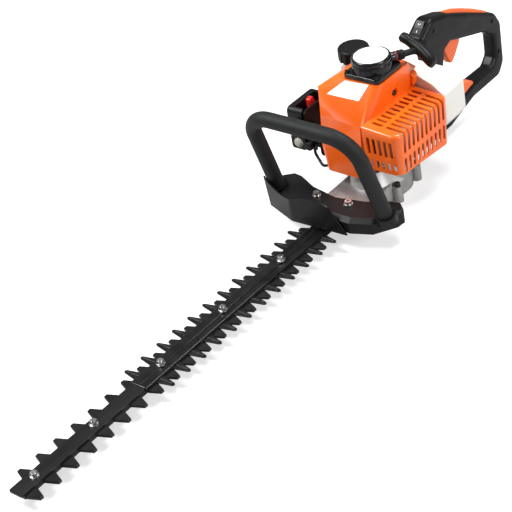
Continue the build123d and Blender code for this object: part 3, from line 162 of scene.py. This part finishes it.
def make_finish(name, dark, light, roughness, grain, depth, cloud=18.0, stretch=(1, 1, 1), **sockets):
    """A surface whose colour drifts between two tones, with a fine grain of `depth` metres."""
    material = bpy.data.materials.new(name)
    material.use_nodes = True
    tree = material.node_tree
    shader = tree.nodes["Principled BSDF"]
    mix = tree.nodes.new("ShaderNodeMix")
    mix.data_type = "RGBA"
    mix.inputs["A"].default_value = (*dark, 1)
    mix.inputs["B"].default_value = (*light, 1)
    drift = add_noise(tree, cloud, 4.0, stretch)
    tree.links.new(add_range(tree, drift, 0.0, 1.0), mix.inputs["Factor"])
    tree.links.new(mix.outputs["Result"], shader.inputs["Base Color"])
    tree.links.new(add_range(tree, drift, *roughness), shader.inputs["Roughness"])
    bump = tree.nodes.new("ShaderNodeBump")
    bump.inputs["Distance"].default_value = depth
    bump.inputs["Strength"].default_value = 0.6
    tree.links.new(add_noise(tree, grain, 5.0, stretch), bump.inputs["Height"])
    tree.links.new(bump.outputs["Normal"], shader.inputs["Normal"])
    for socket, value in sockets.items():
        shader.inputs[socket.replace("_", " ")].default_value = value
    finishes[name] = material
    return material


def add_floor_finish():
    """A pale floor that the camera sees close to white."""
    material = make_finish("floor", (0.52, 0.52, 0.52), (0.55, 0.55, 0.55), (0.8, 0.9), 60, 0.0001,
                           Emission_Color=(1, 1, 1, 1), Specular_IOR_Level=0.1)
    tree = material.node_tree
    path = tree.nodes.new("ShaderNodeLightPath")
    glow = tree.nodes.new("ShaderNodeMath")
    glow.operation = "MULTIPLY"
    glow.inputs[1].default_value = 0.58
    tree.links.new(path.outputs["Is Camera Ray"], glow.inputs[0])
    tree.links.new(glow.outputs["Value"], tree.nodes["Principled BSDF"].inputs["Emission Strength"])


def add_finishes():
    """Every finish that the pieces below are drawn with."""
    add_floor_finish()
    make_finish("orange gloss", (0.85, 0.112, 0.003), (0.94, 0.155, 0.006), (0.26, 0.34), 900, 0.00003,
                cloud=9, Coat_Weight=0.25, Coat_Roughness=0.14)
    make_finish("orange moulded", (0.80, 0.11, 0.012), (0.90, 0.14, 0.018), (0.34, 0.42), 1400, 0.00005)
    make_finish("black moulded", (0.0025, 0.0025, 0.003), (0.006, 0.006, 0.0065), (0.36, 0.48), 1500, 0.00007,
                Specular_IOR_Level=0.22)
    make_finish("black gloss", (0.004, 0.004, 0.0045), (0.008, 0.008, 0.0085), (0.20, 0.30), 700, 0.00003,
                Specular_IOR_Level=0.4)
    make_finish("shield black", (0.0025, 0.0025, 0.003), (0.006, 0.006, 0.0065), (0.26, 0.36), 1100, 0.00004,
                Specular_IOR_Level=0.26)
    make_finish("grip foam", (0.006, 0.0065, 0.007), (0.011, 0.0115, 0.012), (0.56, 0.68), 2600, 0.00016,
                cloud=60, Specular_IOR_Level=0.3)
    make_finish("rubber", (0.004, 0.004, 0.004), (0.009, 0.009, 0.009), (0.5, 0.62), 1800, 0.00008,
                Specular_IOR_Level=0.3)
    make_finish("tank white", (0.70, 0.69, 0.65), (0.77, 0.76, 0.72), (0.30, 0.40), 500, 0.00005, cloud=7,
                Subsurface_Weight=0.3, Subsurface_Scale=0.015)
    make_finish("blade steel", (0.005, 0.005, 0.0055), (0.011, 0.011, 0.0115), (0.26, 0.38), 700, 0.00004,
                cloud=40, stretch=(1, 0.15, 1), Specular_IOR_Level=0.36)
    make_finish("guard steel", (0.004, 0.004, 0.0043), (0.009, 0.009, 0.0093), (0.24, 0.36), 900, 0.00005,
                cloud=50, Specular_IOR_Level=0.34)
    # Lighter grey for the ribs on the guard's teeth: a painted highlight along each rib.
    make_finish("painted rib highlight", (0.03, 0.03, 0.03), (0.07, 0.07, 0.07), (0.24, 0.36), 900, 0.00004,
                cloud=90, Metallic=0.5)
    make_finish("zinc", (0.50, 0.50, 0.49), (0.68, 0.68, 0.67), (0.22, 0.38), 800, 0.00003,
                cloud=120, Metallic=1.0)
    make_finish("cast aluminium", (0.46, 0.46, 0.455), (0.60, 0.60, 0.59), (0.42, 0.55), 1300, 0.00018,
                cloud=45, Metallic=0.85)
    make_finish("dark screw", (0.020, 0.020, 0.018), (0.04, 0.04, 0.036), (0.3, 0.42), 900, 0.00003,
                Metallic=0.7)
    make_finish("muffler steel", (0.42, 0.40, 0.38), (0.58, 0.56, 0.53), (0.30, 0.45), 500, 0.00006,
                cloud=30, Metallic=0.95)
    make_finish("white print", (0.84, 0.84, 0.83), (0.88, 0.88, 0.87), (0.30, 0.38), 300, 0.00001)
    make_finish("red moulded", (0.50, 0.012, 0.012), (0.60, 0.02, 0.02), (0.3, 0.4), 1000, 0.00003)
    make_finish("maroon moulded", (0.10, 0.008, 0.016), (0.14, 0.012, 0.022), (0.32, 0.42), 1000, 0.00003)
    make_finish("clear bulb", (0.62, 0.60, 0.52), (0.72, 0.70, 0.62), (0.14, 0.22), 400, 0.00002,
                Transmission_Weight=0.45, IOR=1.45)
    make_finish("cable black", (0.010, 0.010, 0.010), (0.018, 0.018, 0.018), (0.36, 0.48), 1300, 0.00004)
    make_finish("foam brown", (0.10, 0.09, 0.07), (0.16, 0.14, 0.11), (0.85, 0.95), 1200, 0.0004)
    make_finish("clutch lining", (0.10, 0.08, 0.07), (0.16, 0.13, 0.11), (0.6, 0.75), 900, 0.0001)


node_finishes = {
    "blade steel": ("blade_upper", "blade_lower", "guide_bar"),
    "guard steel": ("tooth_guard",),
    "zinc": ("bracket_bolts", "blade_bolts", "conrod_upper", "conrod_lower", "drive_bearings",
             "main_bearings", "crankshaft", "drive_gear", "clutch_drum", "piston_rod", "recoil_spring"),
    "dark screw": ("gear_case_screws", "cover_screws", "handle_fasteners"),
    "cast aluminium": ("gear_case", "gear_case_cover", "crankcase", "cylinder", "piston", "flywheel"),
    "muffler steel": ("muffler",),
    "orange gloss": ("engine_cover", "muffler_cover"),
    "orange moulded": ("lockout_lever", "throttle_trigger", "handle_wedge"),
    "black gloss": ("starter_housing",),
    "black moulded": ("rear_handle_right", "rear_handle_left", "handle_base", "fuel_cap", "starter_pulley",
                      "intake_block", "cable_adjuster", "ignition_coil", "air_cleaner_base",
                      "air_cleaner_cover", "cover_knob", "stop_switch", "carburettor"),
    "shield black": ("front_shield",),
    "rubber": ("rubber_mounts", "fuel_hose", "starter_handle", "spark_plug"),
    "grip foam": ("front_handle_grip",),
    "tank white": ("fuel_tank",),
    "red moulded": ("choke_lever",),
    "maroon moulded": ("rope_guide",),
    "white print": ("starter_badge",),
    "clear bulb": ("primer_bulb",),
    "cable black": ("throttle_cable", "starter_rope", "front_handle_tube"),
    "foam brown": ("air_filter",),
    "clutch lining": ("clutch_shoes",),
}


def finish_nodes():
    """Gives every carried-over node its surface."""
    for name, nodes in node_finishes.items():
        for node in nodes:
            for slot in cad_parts[node].material_slots:
                slot.material = finishes[name]


# ---------------------------------------------------------------- modelling helpers, in millimetres

def settle(bm, name, finish, body, replaced=(), crease=38, more=()):
    """Turns a finished bmesh into a piece that rides on a body."""
    bmesh.ops.scale(bm, vec=(MM, MM, MM), verts=bm.verts)
    mesh = bpy.data.meshes.new(name)
    bm.to_mesh(mesh)
    bm.free()
    for each in (finish, *more):
        mesh.materials.append(finishes[each])
    mesh.shade_smooth()
    mesh.set_sharp_from_angle(angle=math.radians(crease))
    piece = bpy.data.objects.new(name, mesh)
    bpy.context.scene.collection.objects.link(piece)
    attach(piece, body)
    if replaced:
        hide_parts(*replaced)
    return piece


def join(bm, other):
    """Adds the shape of `other` to `bm`."""
    mesh = bpy.data.meshes.new("part")
    other.to_mesh(mesh)
    other.free()
    bm.from_mesh(mesh)
    bpy.data.meshes.remove(mesh)


def boolean(bm, tool, operation="DIFFERENCE"):
    """`bm` with the shape of `tool` taken away from it, or added to it."""
    holders = []
    for shape in (bm, tool):
        bmesh.ops.recalc_face_normals(shape, faces=shape.faces)
        mesh = bpy.data.meshes.new("shape")
        shape.to_mesh(mesh)
        shape.free()
        holder = bpy.data.objects.new("shape", mesh)
        bpy.context.scene.collection.objects.link(holder)
        holders.append(holder)
    step = holders[0].modifiers.new("cut", "BOOLEAN")
    step.operation = operation
    step.solver = "EXACT"
    step.use_self = False
    step.object = holders[1]
    depsgraph = bpy.context.evaluated_depsgraph_get()
    result = bmesh.new()
    result.from_mesh(holders[0].evaluated_get(depsgraph).to_mesh())
    for holder in holders:
        mesh = holder.data
        bpy.data.objects.remove(holder)
        bpy.data.meshes.remove(mesh)
    return result


def move(bm, matrix):
    """Turns and shifts every point of `bm`."""
    bmesh.ops.transform(bm, matrix=matrix, verts=bm.verts)


def round_edges(bm, edges, radius, steps, **options):
    """Rounds the given edges, and leaves the new faces with the material of their neighbours."""
    bmesh.ops.bevel(bm, geom=edges, offset=radius, segments=steps, profile=0.5, affect="EDGES", material=-1,
                    **options)


def runs_along(axis):
    """A test for edges that run along X, Y or Z, which are 0, 1 and 2."""
    return lambda edge: abs((edge.verts[0].co - edge.verts[1].co).normalized()[axis]) > 0.7


across, lengthways, upright = runs_along(0), runs_along(1), runs_along(2)


def level(edge):
    """Picks the edges that lie flat."""
    return not upright(edge)


def block(low, high, radius=0.0, steps=3, which=None):
    """A box from corner to corner with its edges rounded, or only the edges that `which` picks."""
    bm = bmesh.new()
    bmesh.ops.create_cube(bm, size=1.0)
    low, high = Vector(low), Vector(high)
    bmesh.ops.scale(bm, vec=high - low, verts=bm.verts)
    bmesh.ops.translate(bm, vec=(low + high) / 2, verts=bm.verts)
    if radius:
        round_edges(bm, [edge for edge in bm.edges if which is None or which(edge)], radius, steps)
    return bm


def turned(profile, centre=(0, 0, 0), axis=(0, 0, 1), steps=48):
    """A round shape: the profile of (radius, height) points spun about an axis."""
    bm = bmesh.new()
    points = [bm.verts.new((radius, 0, height)) for radius, height in profile]
    rim = [bm.edges.new(pair) for pair in zip(points, points[1:])]
    bmesh.ops.spin(bm, geom=points + rim, cent=(0, 0, 0), axis=(0, 0, 1), angle=2 * math.pi, steps=steps,
                   use_merge=True)
    bmesh.ops.remove_doubles(bm, verts=bm.verts, dist=0.001)
    bmesh.ops.recalc_face_normals(bm, faces=bm.faces)
    turn = Vector(axis).to_track_quat("Z", "Y").to_matrix().to_4x4()
    move(bm, Matrix.Translation(centre) @ turn)
    return bm


def rounded(corners, radius, steps=5):
    """An outline whose corners are drawn as short curves; a third number gives a corner its own radius."""
    outline = []
    for k, corner in enumerate(corners):
        here = Vector(corner[:2])
        before = Vector(corners[k - 1][:2]) - here
        after = Vector(corners[(k + 1) % len(corners)][:2]) - here
        own = corner[2] if len(corner) > 2 else radius
        reach = min(own / math.tan(before.angle(after) / 2), 0.47 * before.length, 0.47 * after.length)
        start = here + before.normalized() * reach
        end = here + after.normalized() * reach
        for step in range(steps + 1):
            t = step / steps
            outline.append(start.lerp(here, t).lerp(here.lerp(end, t), t))
    return outline


FLAT = Matrix.Identity(4)
SIDE = Matrix(((0, 0, 1, 0), (1, 0, 0, 0), (0, 1, 0, 0), (0, 0, 0, 1)))     # outline (x, y) stands as (Y, Z)
FRONT = Matrix(((1, 0, 0, 0), (0, 0, -1, 0), (0, 1, 0, 0), (0, 0, 0, 1)))   # outline (x, y) stands as (X, Z)


def slab(outlines, thickness, edge, stand=FLAT, place=(0, 0, 0), round_steps=3):
    """A flat solid with rounded rims; outlines after the first are its holes."""
    curve = bpy.data.curves.new("outline", "CURVE")
    curve.dimensions = "2D"
    curve.fill_mode = "BOTH"
    curve.extrude = thickness / 2 - edge
    curve.bevel_depth = edge
    curve.bevel_resolution = round_steps
    curve.offset = -edge
    for outline in outlines:
        spline = curve.splines.new("POLY")
        spline.points.add(len(outline) - 1)
        for point, spot in zip(spline.points, outline):
            point.co = (spot[0], spot[1], 0, 1)
        spline.use_cyclic_u = True
    holder = bpy.data.objects.new("outline", curve)
    mesh = bpy.data.meshes.new_from_object(holder)
    bpy.data.objects.remove(holder)
    bpy.data.curves.remove(curve)
    bm = bmesh.new()
    bm.from_mesh(mesh)
    bpy.data.meshes.remove(mesh)
    bmesh.ops.remove_doubles(bm, verts=bm.verts, dist=0.002)
    move(bm, Matrix.Translation(place) @ stand)
    bmesh.ops.recalc_face_normals(bm, faces=bm.faces)
    return bm


def loft(stations, steps=24):
    """Oval rings joined in a row; each station is (centre, direction, side, half width, half height)."""
    bm = bmesh.new()
    rings = []
    for centre, direction, side, half_width, half_height in stations:
        z_axis = Vector(direction).normalized()
        y_axis = z_axis.cross(Vector(side)).normalized()
        x_axis = y_axis.cross(z_axis)
        turn = Matrix((x_axis * half_width, y_axis * half_height, z_axis)).transposed().to_4x4()
        ring = bmesh.ops.create_circle(bm, segments=steps, radius=1.0,
                                       matrix=Matrix.Translation(centre) @ turn)["verts"]
        rings.append([edge for edge in bm.edges if edge.verts[0] in ring and edge.verts[1] in ring])
    for one, two in zip(rings, rings[1:]):
        bmesh.ops.bridge_loops(bm, edges=one + two)
    bmesh.ops.holes_fill(bm, edges=bm.edges, sides=0)
    bmesh.ops.recalc_face_normals(bm, faces=bm.faces)
    return bm


# ---------------------------------------------------------------- engine cover

cover_levels = [                             # left, right, front, back, height of the cover's sections
    (-54, 28, -72, 48, 54), (-60, 28, -71, 51, 96), (-62, 28.5, -68.5, 52, 143), (-59, 31, -46, 51, 172),
    (-44, 33, -34, 46, 190),
]
cover_screw_spots = [                        # place, and the way out of the cover
    ((5, -61, 152), (0, -0.80, 0.60)), ((32.2, 4, 161), (1, 0, 0.12)), ((-61.4, 20, 140), (-1, 0, 0.1)),
]


def cover_body(inset):
    """The cover's closed outer form, drawn in by `inset` all round."""
    bm = bmesh.new()
    bmesh.ops.create_cube(bm, size=1.0)
    heights = [section[4] for section in cover_levels]
    for height in heights[1:-1]:
        at = (height - heights[0]) / (heights[-1] - heights[0]) - 0.5
        bmesh.ops.bisect_plane(bm, geom=bm.verts[:] + bm.edges[:] + bm.faces[:], plane_co=(0, 0, at),
                               plane_no=(0, 0, 1))
    for vert in bm.verts:
        height = heights[0] + (vert.co.z + 0.5) * (heights[-1] - heights[0])
        section = min(cover_levels, key=lambda each: abs(each[4] - height))
        vert.co.x = section[0] + inset if vert.co.x < 0 else section[1] - inset
        vert.co.y = section[2] + inset if vert.co.y < 0 else section[3] - inset
        vert.co.z = section[4] - (inset if section is cover_levels[-1] else 0)
    corners = [edge for edge in bm.edges if abs((edge.verts[0].co - edge.verts[1].co).z) > 5]
    round_edges(bm, corners, 11 - inset, 6)
    folds = [edge for edge in bm.edges
             if edge.calc_face_angle(0) > 0.25 and abs((edge.verts[0].co - edge.verts[1].co).z) < 1
             and edge.verts[0].co.z > 100]
    round_edges(bm, folds, 3, 3, clamp_overlap=True)
    return bm


def make_engine_cover():
    """A hollow cover, open below, on top, at the exhaust and at the intake, with three screw dishes."""
    shell = boolean(cover_body(0), cover_body(cover_wall))
    floor_opening = block((-50, -66, 50), (24, 44, 60))
    starter_opening = turned([(0, 176), (22.5, 176), (22.5, 200), (0, 200)])
    exhaust_opening = block((20, -60, 50), (34, 46, 146), 4)
    intake_opening = block((-70, -61, 77), (-50, -31, 107), 3)
    for opening in (floor_opening, starter_opening, exhaust_opening, intake_opening):
        shell = boolean(shell, opening)
    for spot, out in cover_screw_spots:
        dish = turned([(0, -3.4), (6.4, -3.4), (6.9, 0), (7.4, 3), (0, 3)], spot, out, 28)
        shell = boolean(shell, dish)
    for spot, out in cover_screw_spots:
        seat = turned([(4.4, -5.0), (7.4, -5.0), (7.4, -3.5), (4.4, -3.5), (4.4, -5.0)], spot, out, 28)
        join(shell, seat)
    bmesh.ops.dissolve_degenerate(shell, dist=0.01, edges=shell.edges)
    cover = settle(shell, "cover_shell", "orange gloss", FRAME_BODY, ["engine_cover"])
    tab_outline = rounded([(14, 150), (14, 163), (19, 172), (33, 172), (36, 166), (34, 150)], 5)
    tab = slab([tab_outline], 12, 1.6, FRONT, (0, 50, 0))
    settle(tab, "cover_tab", "orange gloss", FRAME_BODY)
    return cover


sticker_corners = [Vector(corner) for corner in ((-49.7, -49.6), (6.3, -48.8), (16.6, -33.7), (-24.7, -34.5))]
sticker_lift = 0.3
above_cover = 260


def make_cover_trim(cover):
    """The white sticker on the sloping front, laid on the cover's own surface."""
    surface = BVHTree.FromObject(cover, bpy.context.evaluated_depsgraph_get())
    bm = bmesh.new()
    bmesh.ops.create_grid(bm, x_segments=16, y_segments=12, size=1.0)
    for vert in bm.verts:
        share_right, share_up = (vert.co.x + 1) / 2, (vert.co.y + 1) / 2
        low_edge = sticker_corners[0].lerp(sticker_corners[1], share_right)
        high_edge = sticker_corners[3].lerp(sticker_corners[2], share_right)
        spot = low_edge.lerp(high_edge, share_up)
        hit, normal, _, _ = surface.ray_cast(Vector((spot.x, spot.y, above_cover)) * MM, Vector((0, 0, -1)))
        vert.co = hit / MM + (normal if normal.z > 0 else -normal) * sticker_lift
    settle(bm, "cover_sticker", "white print", FRAME_BODY)


# ---------------------------------------------------------------- muffler cover

muffler_wall = 2.4
slot_width = 5
slot_pitch = 10.7                            # of the slots on the top and the side
front_slot_pitch = 9.6


def muffler_form():
    """The closed outer form: tapered below, sloping outwards on top, with two large round corners."""
    bm = block((28.6, -79, 70), (90, 51, 150))
    for vert in bm.verts:
        outside = vert.co.x > 50
        if vert.co.z < 100:
            in_front = vert.co.y < 0
            vert.co = (86 if outside else vert.co.x, -76 if in_front else 49, 80 if in_front else 68)
        elif outside:
            vert.co.z = 145
    round_edges(bm, [edge for edge in bm.edges if upright(edge) and edge.verts[0].co.x > 50], 13, 6)
    rim = [edge for edge in bm.edges if edge.calc_face_angle(0) > 0.6
           and min(vert.co.z for vert in edge.verts) > 130 and max(vert.co.x for vert in edge.verts) > 30]
    round_edges(bm, rim, 6, 4)
    return bm


def muffler_slots():
    """Two rows along the top, of which one bends down the side, one low on the side and two on the front."""
    slots = bmesh.new()
    for k in range(10):
        start = -64 + slot_pitch * k
        end = start + slot_width
        join(slots, block((36, start, 130), (54.5, end, 160), 2, 3, upright))
        join(slots, block((60, start, 112), (100, end, 160), 1.6, 2, upright))
        join(slots, block((70, start, 80), (100, end, 103), 1.6, 2, across))
    for k in range(5):
        for left, low, high in ((34.5, 107, 134), (36.5, 85, 98)):
            left += front_slot_pitch * k
            join(slots, block((left, -90, low), (left + slot_width, -66, high), 1.8, 2, lengthways))
    return slots


def make_muffler_cover():
    """A slotted box over the exhaust, open below and towards the engine."""
    outer = muffler_form()
    cavity = outer.copy()
    centre = Vector((40, -14, 108))
    past_opening = 8
    for vert in cavity.verts:
        reach = vert.co - centre
        vert.co.x -= muffler_wall if reach.x > 10 else past_opening
        vert.co.y -= math.copysign(muffler_wall, reach.y)
        vert.co.z -= muffler_wall if reach.z > 0 else past_opening
    shell = boolean(boolean(outer, cavity), muffler_slots())
    bmesh.ops.dissolve_degenerate(shell, dist=0.01, edges=shell.edges)
    settle(shell, "muffler_cover_shell", "orange gloss", FRAME_BODY, ["muffler_cover"])


# ---------------------------------------------------------------- starter

pull = Vector((math.cos(math.radians(pull_angle)), math.sin(math.radians(pull_angle)), 0))
rope_start = (0, 0, rope_height)
flange_half = 31
flange_screw = 26                            # from the middle to each flange screw, along X and along Y


def make_starter():
    """Square flange, stepped drum and rope outlet, with a plain white disc on top."""
    square = [(-flange_half, -flange_half), (flange_half, -flange_half), (flange_half, flange_half),
              (-flange_half, flange_half)]
    housing = slab([rounded(square, 8)], 8, 1.6, FLAT, (0, 0, 194))
    drum = turned([(0, 192), (29.2, 192), (29.2, 198), (29.0, 209), (28.4, 210.2), (28.9, 211.4),
                   (28.7, 215.4), (27.6, 217.4), (26.4, 218), (25.8, 217.6), (25.4, 216.9), (0, 216.9)],
                  steps=72)
    outlet = turned([(0, 18), (8.2, 18), (7.4, 33), (6.6, 35), (0, 35)], rope_start, pull, 32)
    for addition in (drum, outlet):
        housing = boolean(housing, addition, "UNION")
    pulley_room = turned([(0, 180), (25, 180), (25, 214.8), (0, 214.8)], steps=48)
    rope_bore = turned([(0, 20), (3.9, 20), (3.9, 40), (0, 40)], rope_start, pull, 24)
    for room in (pulley_room, rope_bore):
        housing = boolean(housing, room)
    for side, end in ((-1, -1), (1, -1), (-1, 1)):
        screw_seat = turned([(0, 196.4), (4.6, 196.4), (4.6, 204), (0, 204)],
                            (side * flange_screw, end * flange_screw, 0), steps=24)
        housing = boolean(housing, screw_seat)
    settle(housing, "starter_shell", "black gloss", FRAME_BODY, ["starter_housing"])
    badge = turned([(0, 217.2), (24.9, 217.2), (25.1, 217.4), (24.9, 217.7), (24.2, 217.9), (0, 217.9)],
                   steps=72)
    settle(badge, "plain_badge", "white print", FRAME_BODY, ["starter_badge"])
    ring = turned([(2.6, 33.8), (7.2, 33.8), (7.8, 34.8), (7.8, 36.6), (7.2, 37.6), (2.6, 37.6), (2.6, 33.8)],
                  rope_start, pull, 36)
    settle(ring, "rope_ring", "maroon moulded", FRAME_BODY, ["rope_guide"])


bar_reach = 72                               # from the starter's middle to the T bar
bar_side = Vector((-0.892, 0.182, 0.415))
bar_sections = [                             # along the bar, forward along the pull, half width, half height
    (34, -2.6, 3.6, 4.0), (33, -2.6, 6.4, 7.0), (29, -2.2, 8.0, 8.6), (20, -1.0, 7.0, 8.0),
    (10, 0, 7.6, 9.0), (0, 0.4, 8.4, 10.4), (-10, 0, 8.4, 10.8), (-20, -0.8, 8.2, 10.4),
    (-29, -1.6, 8.0, 9.6), (-33, -2.2, 6.4, 7.6), (-34, -2.4, 3.6, 4.4),
]


def make_starter_handle():
    """T handle: ribbed collar, stem and a swept bar with rounded horns."""
    handle = turned([(2.6, 38.2), (7.0, 38.2), (7.6, 39.2), (7.6, 43.2), (6.8, 43.6), (6.8, 44.4),
                     (7.4, 44.8), (7.4, 47.4), (6.2, 48.6), (5.2, 49.4), (4.9, 52), (4.9, 62), (6.6, 68),
                     (0, 72)], rope_start, pull, 32)
    middle = Vector(rope_start) + pull * bar_reach
    stations = [(middle + bar_side * along + pull * forward, bar_side, pull, half_width, half_height)
                for along, forward, half_width, half_height in bar_sections]
    handle = boolean(handle, loft(stations, 20), "UNION")
    settle(handle, "pull_grip", "black moulded", "starter_grip", ["starter_handle"])


# ---------------------------------------------------------------- rear handle

handle_rim = [                               # each corner with the size of its rounding
    (44, 28, 3), (44, 44, 3), (100, 42, 6), (122, 60, 12), (122, 150, 20), (106, 176, 6), (103, 191, 5),
    (134, 211, 18), (170, 201, 30), (224, 176, 60), (274, 151, 60), (302, 137, 22), (315, 116, 22),
    (315, 48, 18), (300, 29, 14), (226, 29, 30), (160, 14, 20), (100, 14, 20),
]
handle_window = [
    (152, 40, 6), (226, 54, 20), (278, 54, 12), (291, 66, 10), (291, 104, 12), (269, 120, 8),
    (204, 142, 10), (176, 152, 8), (160, 146, 8), (152, 122, 12),
]
loop_slimming = 0.2                          # how much narrower the loop is than the front block
seam_half = 0.12
switch_turn = Matrix.Rotation(math.atan2(-switch_outward.y, switch_outward.z), 4, "X")


def share(value, start, end):
    """How far `value` has come from `start` to `end`, from 0 to 1."""
    return min(max((value - start) / (end - start), 0), 1)


def make_rear_handle():
    """A thick front block that slims into a loop, with rooms for the controls, cut into two half shells."""
    body = slab([rounded(handle_rim, 8, 7), rounded(handle_window, 8, 7)], 30, 7.5, SIDE, round_steps=5)
    for vert in body.verts:
        behind = share(vert.co.y, 225, 270)
        below = share(vert.co.z, 60, 35) * share(vert.co.y, 150, 170)
        vert.co.x *= 1 - loop_slimming * max(behind, below)
    trigger_outline = rounded([(157, 171), (176, 176), (224, 158), (234, 128), (157, 106)], 1)
    lockout_outline = rounded([(175, 232), (175, 177), (240, 151), (295, 126), (295, 182)], 1)
    trigger_room = slab([trigger_outline], 15, 0.2, SIDE)
    lockout_room = slab([lockout_outline], 13.4, 0.2, SIDE)
    switch_room = block((-7.5, -11.5, -8), (7.5, 11.5, 14), 1.5, 2)
    move(switch_room, Matrix.Translation(switch_spot) @ switch_turn)
    for room in (trigger_room, lockout_room, switch_room):
        body = boolean(body, room)
    for name, side, node in (("handle_right_shell", 1, "rear_handle_right"),
                             ("handle_left_shell", -1, "rear_handle_left")):
        half = body.copy()
        bmesh.ops.bisect_plane(half, geom=half.verts[:] + half.edges[:] + half.faces[:],
                               plane_co=(seam_half * side, 0, 0), plane_no=(side, 0, 0), clear_inner=True)
        seam = [edge for edge in half.edges if edge.is_boundary]
        bmesh.ops.triangle_fill(half, edges=seam, use_beauty=True)
        settle(half, name, "black moulded", FRAME_BODY, [node], crease=50)
    body.free()


def make_controls():
    """The throttle trigger under the arm and the lockout lever on top of it."""
    trigger_outline = rounded([(165, 165), (175, 166), (204, 152), (212, 146), (208, 134), (196, 120),
                               (185, 110.5, 3), (179.5, 112, 3), (173, 125), (166, 142)], 4, 6)
    trigger = slab([trigger_outline], 12, 2.4, SIDE, round_steps=4)
    settle(trigger, "trigger_blade", "orange moulded", "trigger", ["throttle_trigger"])
    lever_outline = rounded([(181, 197, 1.5), (186, 187, 2), (192, 180, 4), (240, 160, 30), (285, 140, 2),
                             (287, 147, 3), (262, 162, 60), (234, 176.5, 60), (206, 189.5, 40)], 4, 6)
    lever = slab([lever_outline], 12, 2.0, SIDE, round_steps=4)
    settle(lever, "lockout_blade", "orange moulded", "lockout", ["lockout_lever"])


def make_switch_marks():
    """A ring and a dash printed on the rocker's face."""
    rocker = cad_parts["stop_switch"]
    surface = BVHTree.FromObject(rocker, bpy.context.evaluated_depsgraph_get())
    to_rocker = rocker.matrix_world.inverted()
    marks = bmesh.new()
    for along in (-6, 6):
        start = (switch_spot + switch_slope * along + switch_outward * 30) * MM
        hit, _, _, _ = surface.ray_cast(to_rocker @ start, to_rocker.to_3x3() @ -switch_outward)
        spot = rocker.matrix_world @ hit / MM
        if along > 0:
            mark = turned([(1.5, -0.1), (2.3, -0.1), (2.3, 0.15), (1.5, 0.15), (1.5, -0.1)], spot,
                          switch_outward, 28)
        else:
            mark = block((-0.45, -2, -0.1), (0.45, 2, 0.15))
            move(mark, Matrix.Translation(spot) @ switch_turn)
        join(marks, mark)
    settle(marks, "switch_marks", "white print", "switch")


# ---------------------------------------------------------------- tooth guard

guard_front = -560
guard_tail = -150
guard_low = 20.1
channel_half = 14
channel_top = 25.0
ridge_half = 3.4
ridge_top = 26.6


def guard_outline():
    """The flat plate: down the right side from the tail and back up the left, tooth by tooth."""
    outline = [(channel_half, guard_tail)]
    for side, first_y in guard_rows:
        row = []
        for k in range(guard_teeth):
            y = first_y + tooth_pitch * k
            row += [(channel_half, y - 8, 3), (37.6, y - 2.9, 2), (40.3, y, 1), (37.6, y + 2.9, 2),
                    (channel_half, y + 8, 3)]
        if side > 0:
            outline += row[::-1] + [(channel_half, guard_front, 4), (-channel_half, guard_front, 4)]
        else:
            outline += [(-x, y, radius) for x, y, radius in row] + [(-channel_half, guard_tail, 2)]
    return outline


def make_tooth_guard():
    """A pressed channel over the bar with long blunt teeth and a rib along each tooth, coloured lighter as a
    painted highlight.
    """
    guard = slab([rounded(guard_outline(), 2, 3)], 1.8, 0.45, FLAT, (0, 0, guard_low + 0.9), 2)
    join(guard, block((-channel_half, guard_front + 0.4, guard_low),
                      (channel_half, guard_tail - 0.2, channel_top), 1.5, 3))
    join(guard, block((-ridge_half, guard_front + 3, guard_low), (ridge_half, guard_tail - 0.2, ridge_top),
                      1.3, 3, level))
    for side, first_y in guard_rows:
        turn = Matrix.Rotation(math.pi if side < 0 else 0, 4, "Z")
        for k in range(guard_teeth):
            rib = block((15, -1.5, guard_low + 1), (35, 1.5, guard_low + 2.9), 0.7, 2)
            # Each rib takes the second finish, a lighter grey that paints a highlight along the rib.
            for face in rib.faces:
                face.material_index = 1
            move(rib, Matrix.Translation((0, first_y + tooth_pitch * k, 0)) @ turn)
            join(guard, rib)
    settle(guard, "guard_pressing", "guard steel", FRAME_BODY, ["tooth_guard"],
           more=["painted rib highlight"])


# ---------------------------------------------------------------- build

add_finishes()
add_camera()
add_studio()
finish_nodes()
make_cover_trim(make_engine_cover())
make_muffler_cover()
make_starter()
make_starter_handle()
make_rear_handle()
make_controls()
make_switch_marks()
make_tooth_guard()
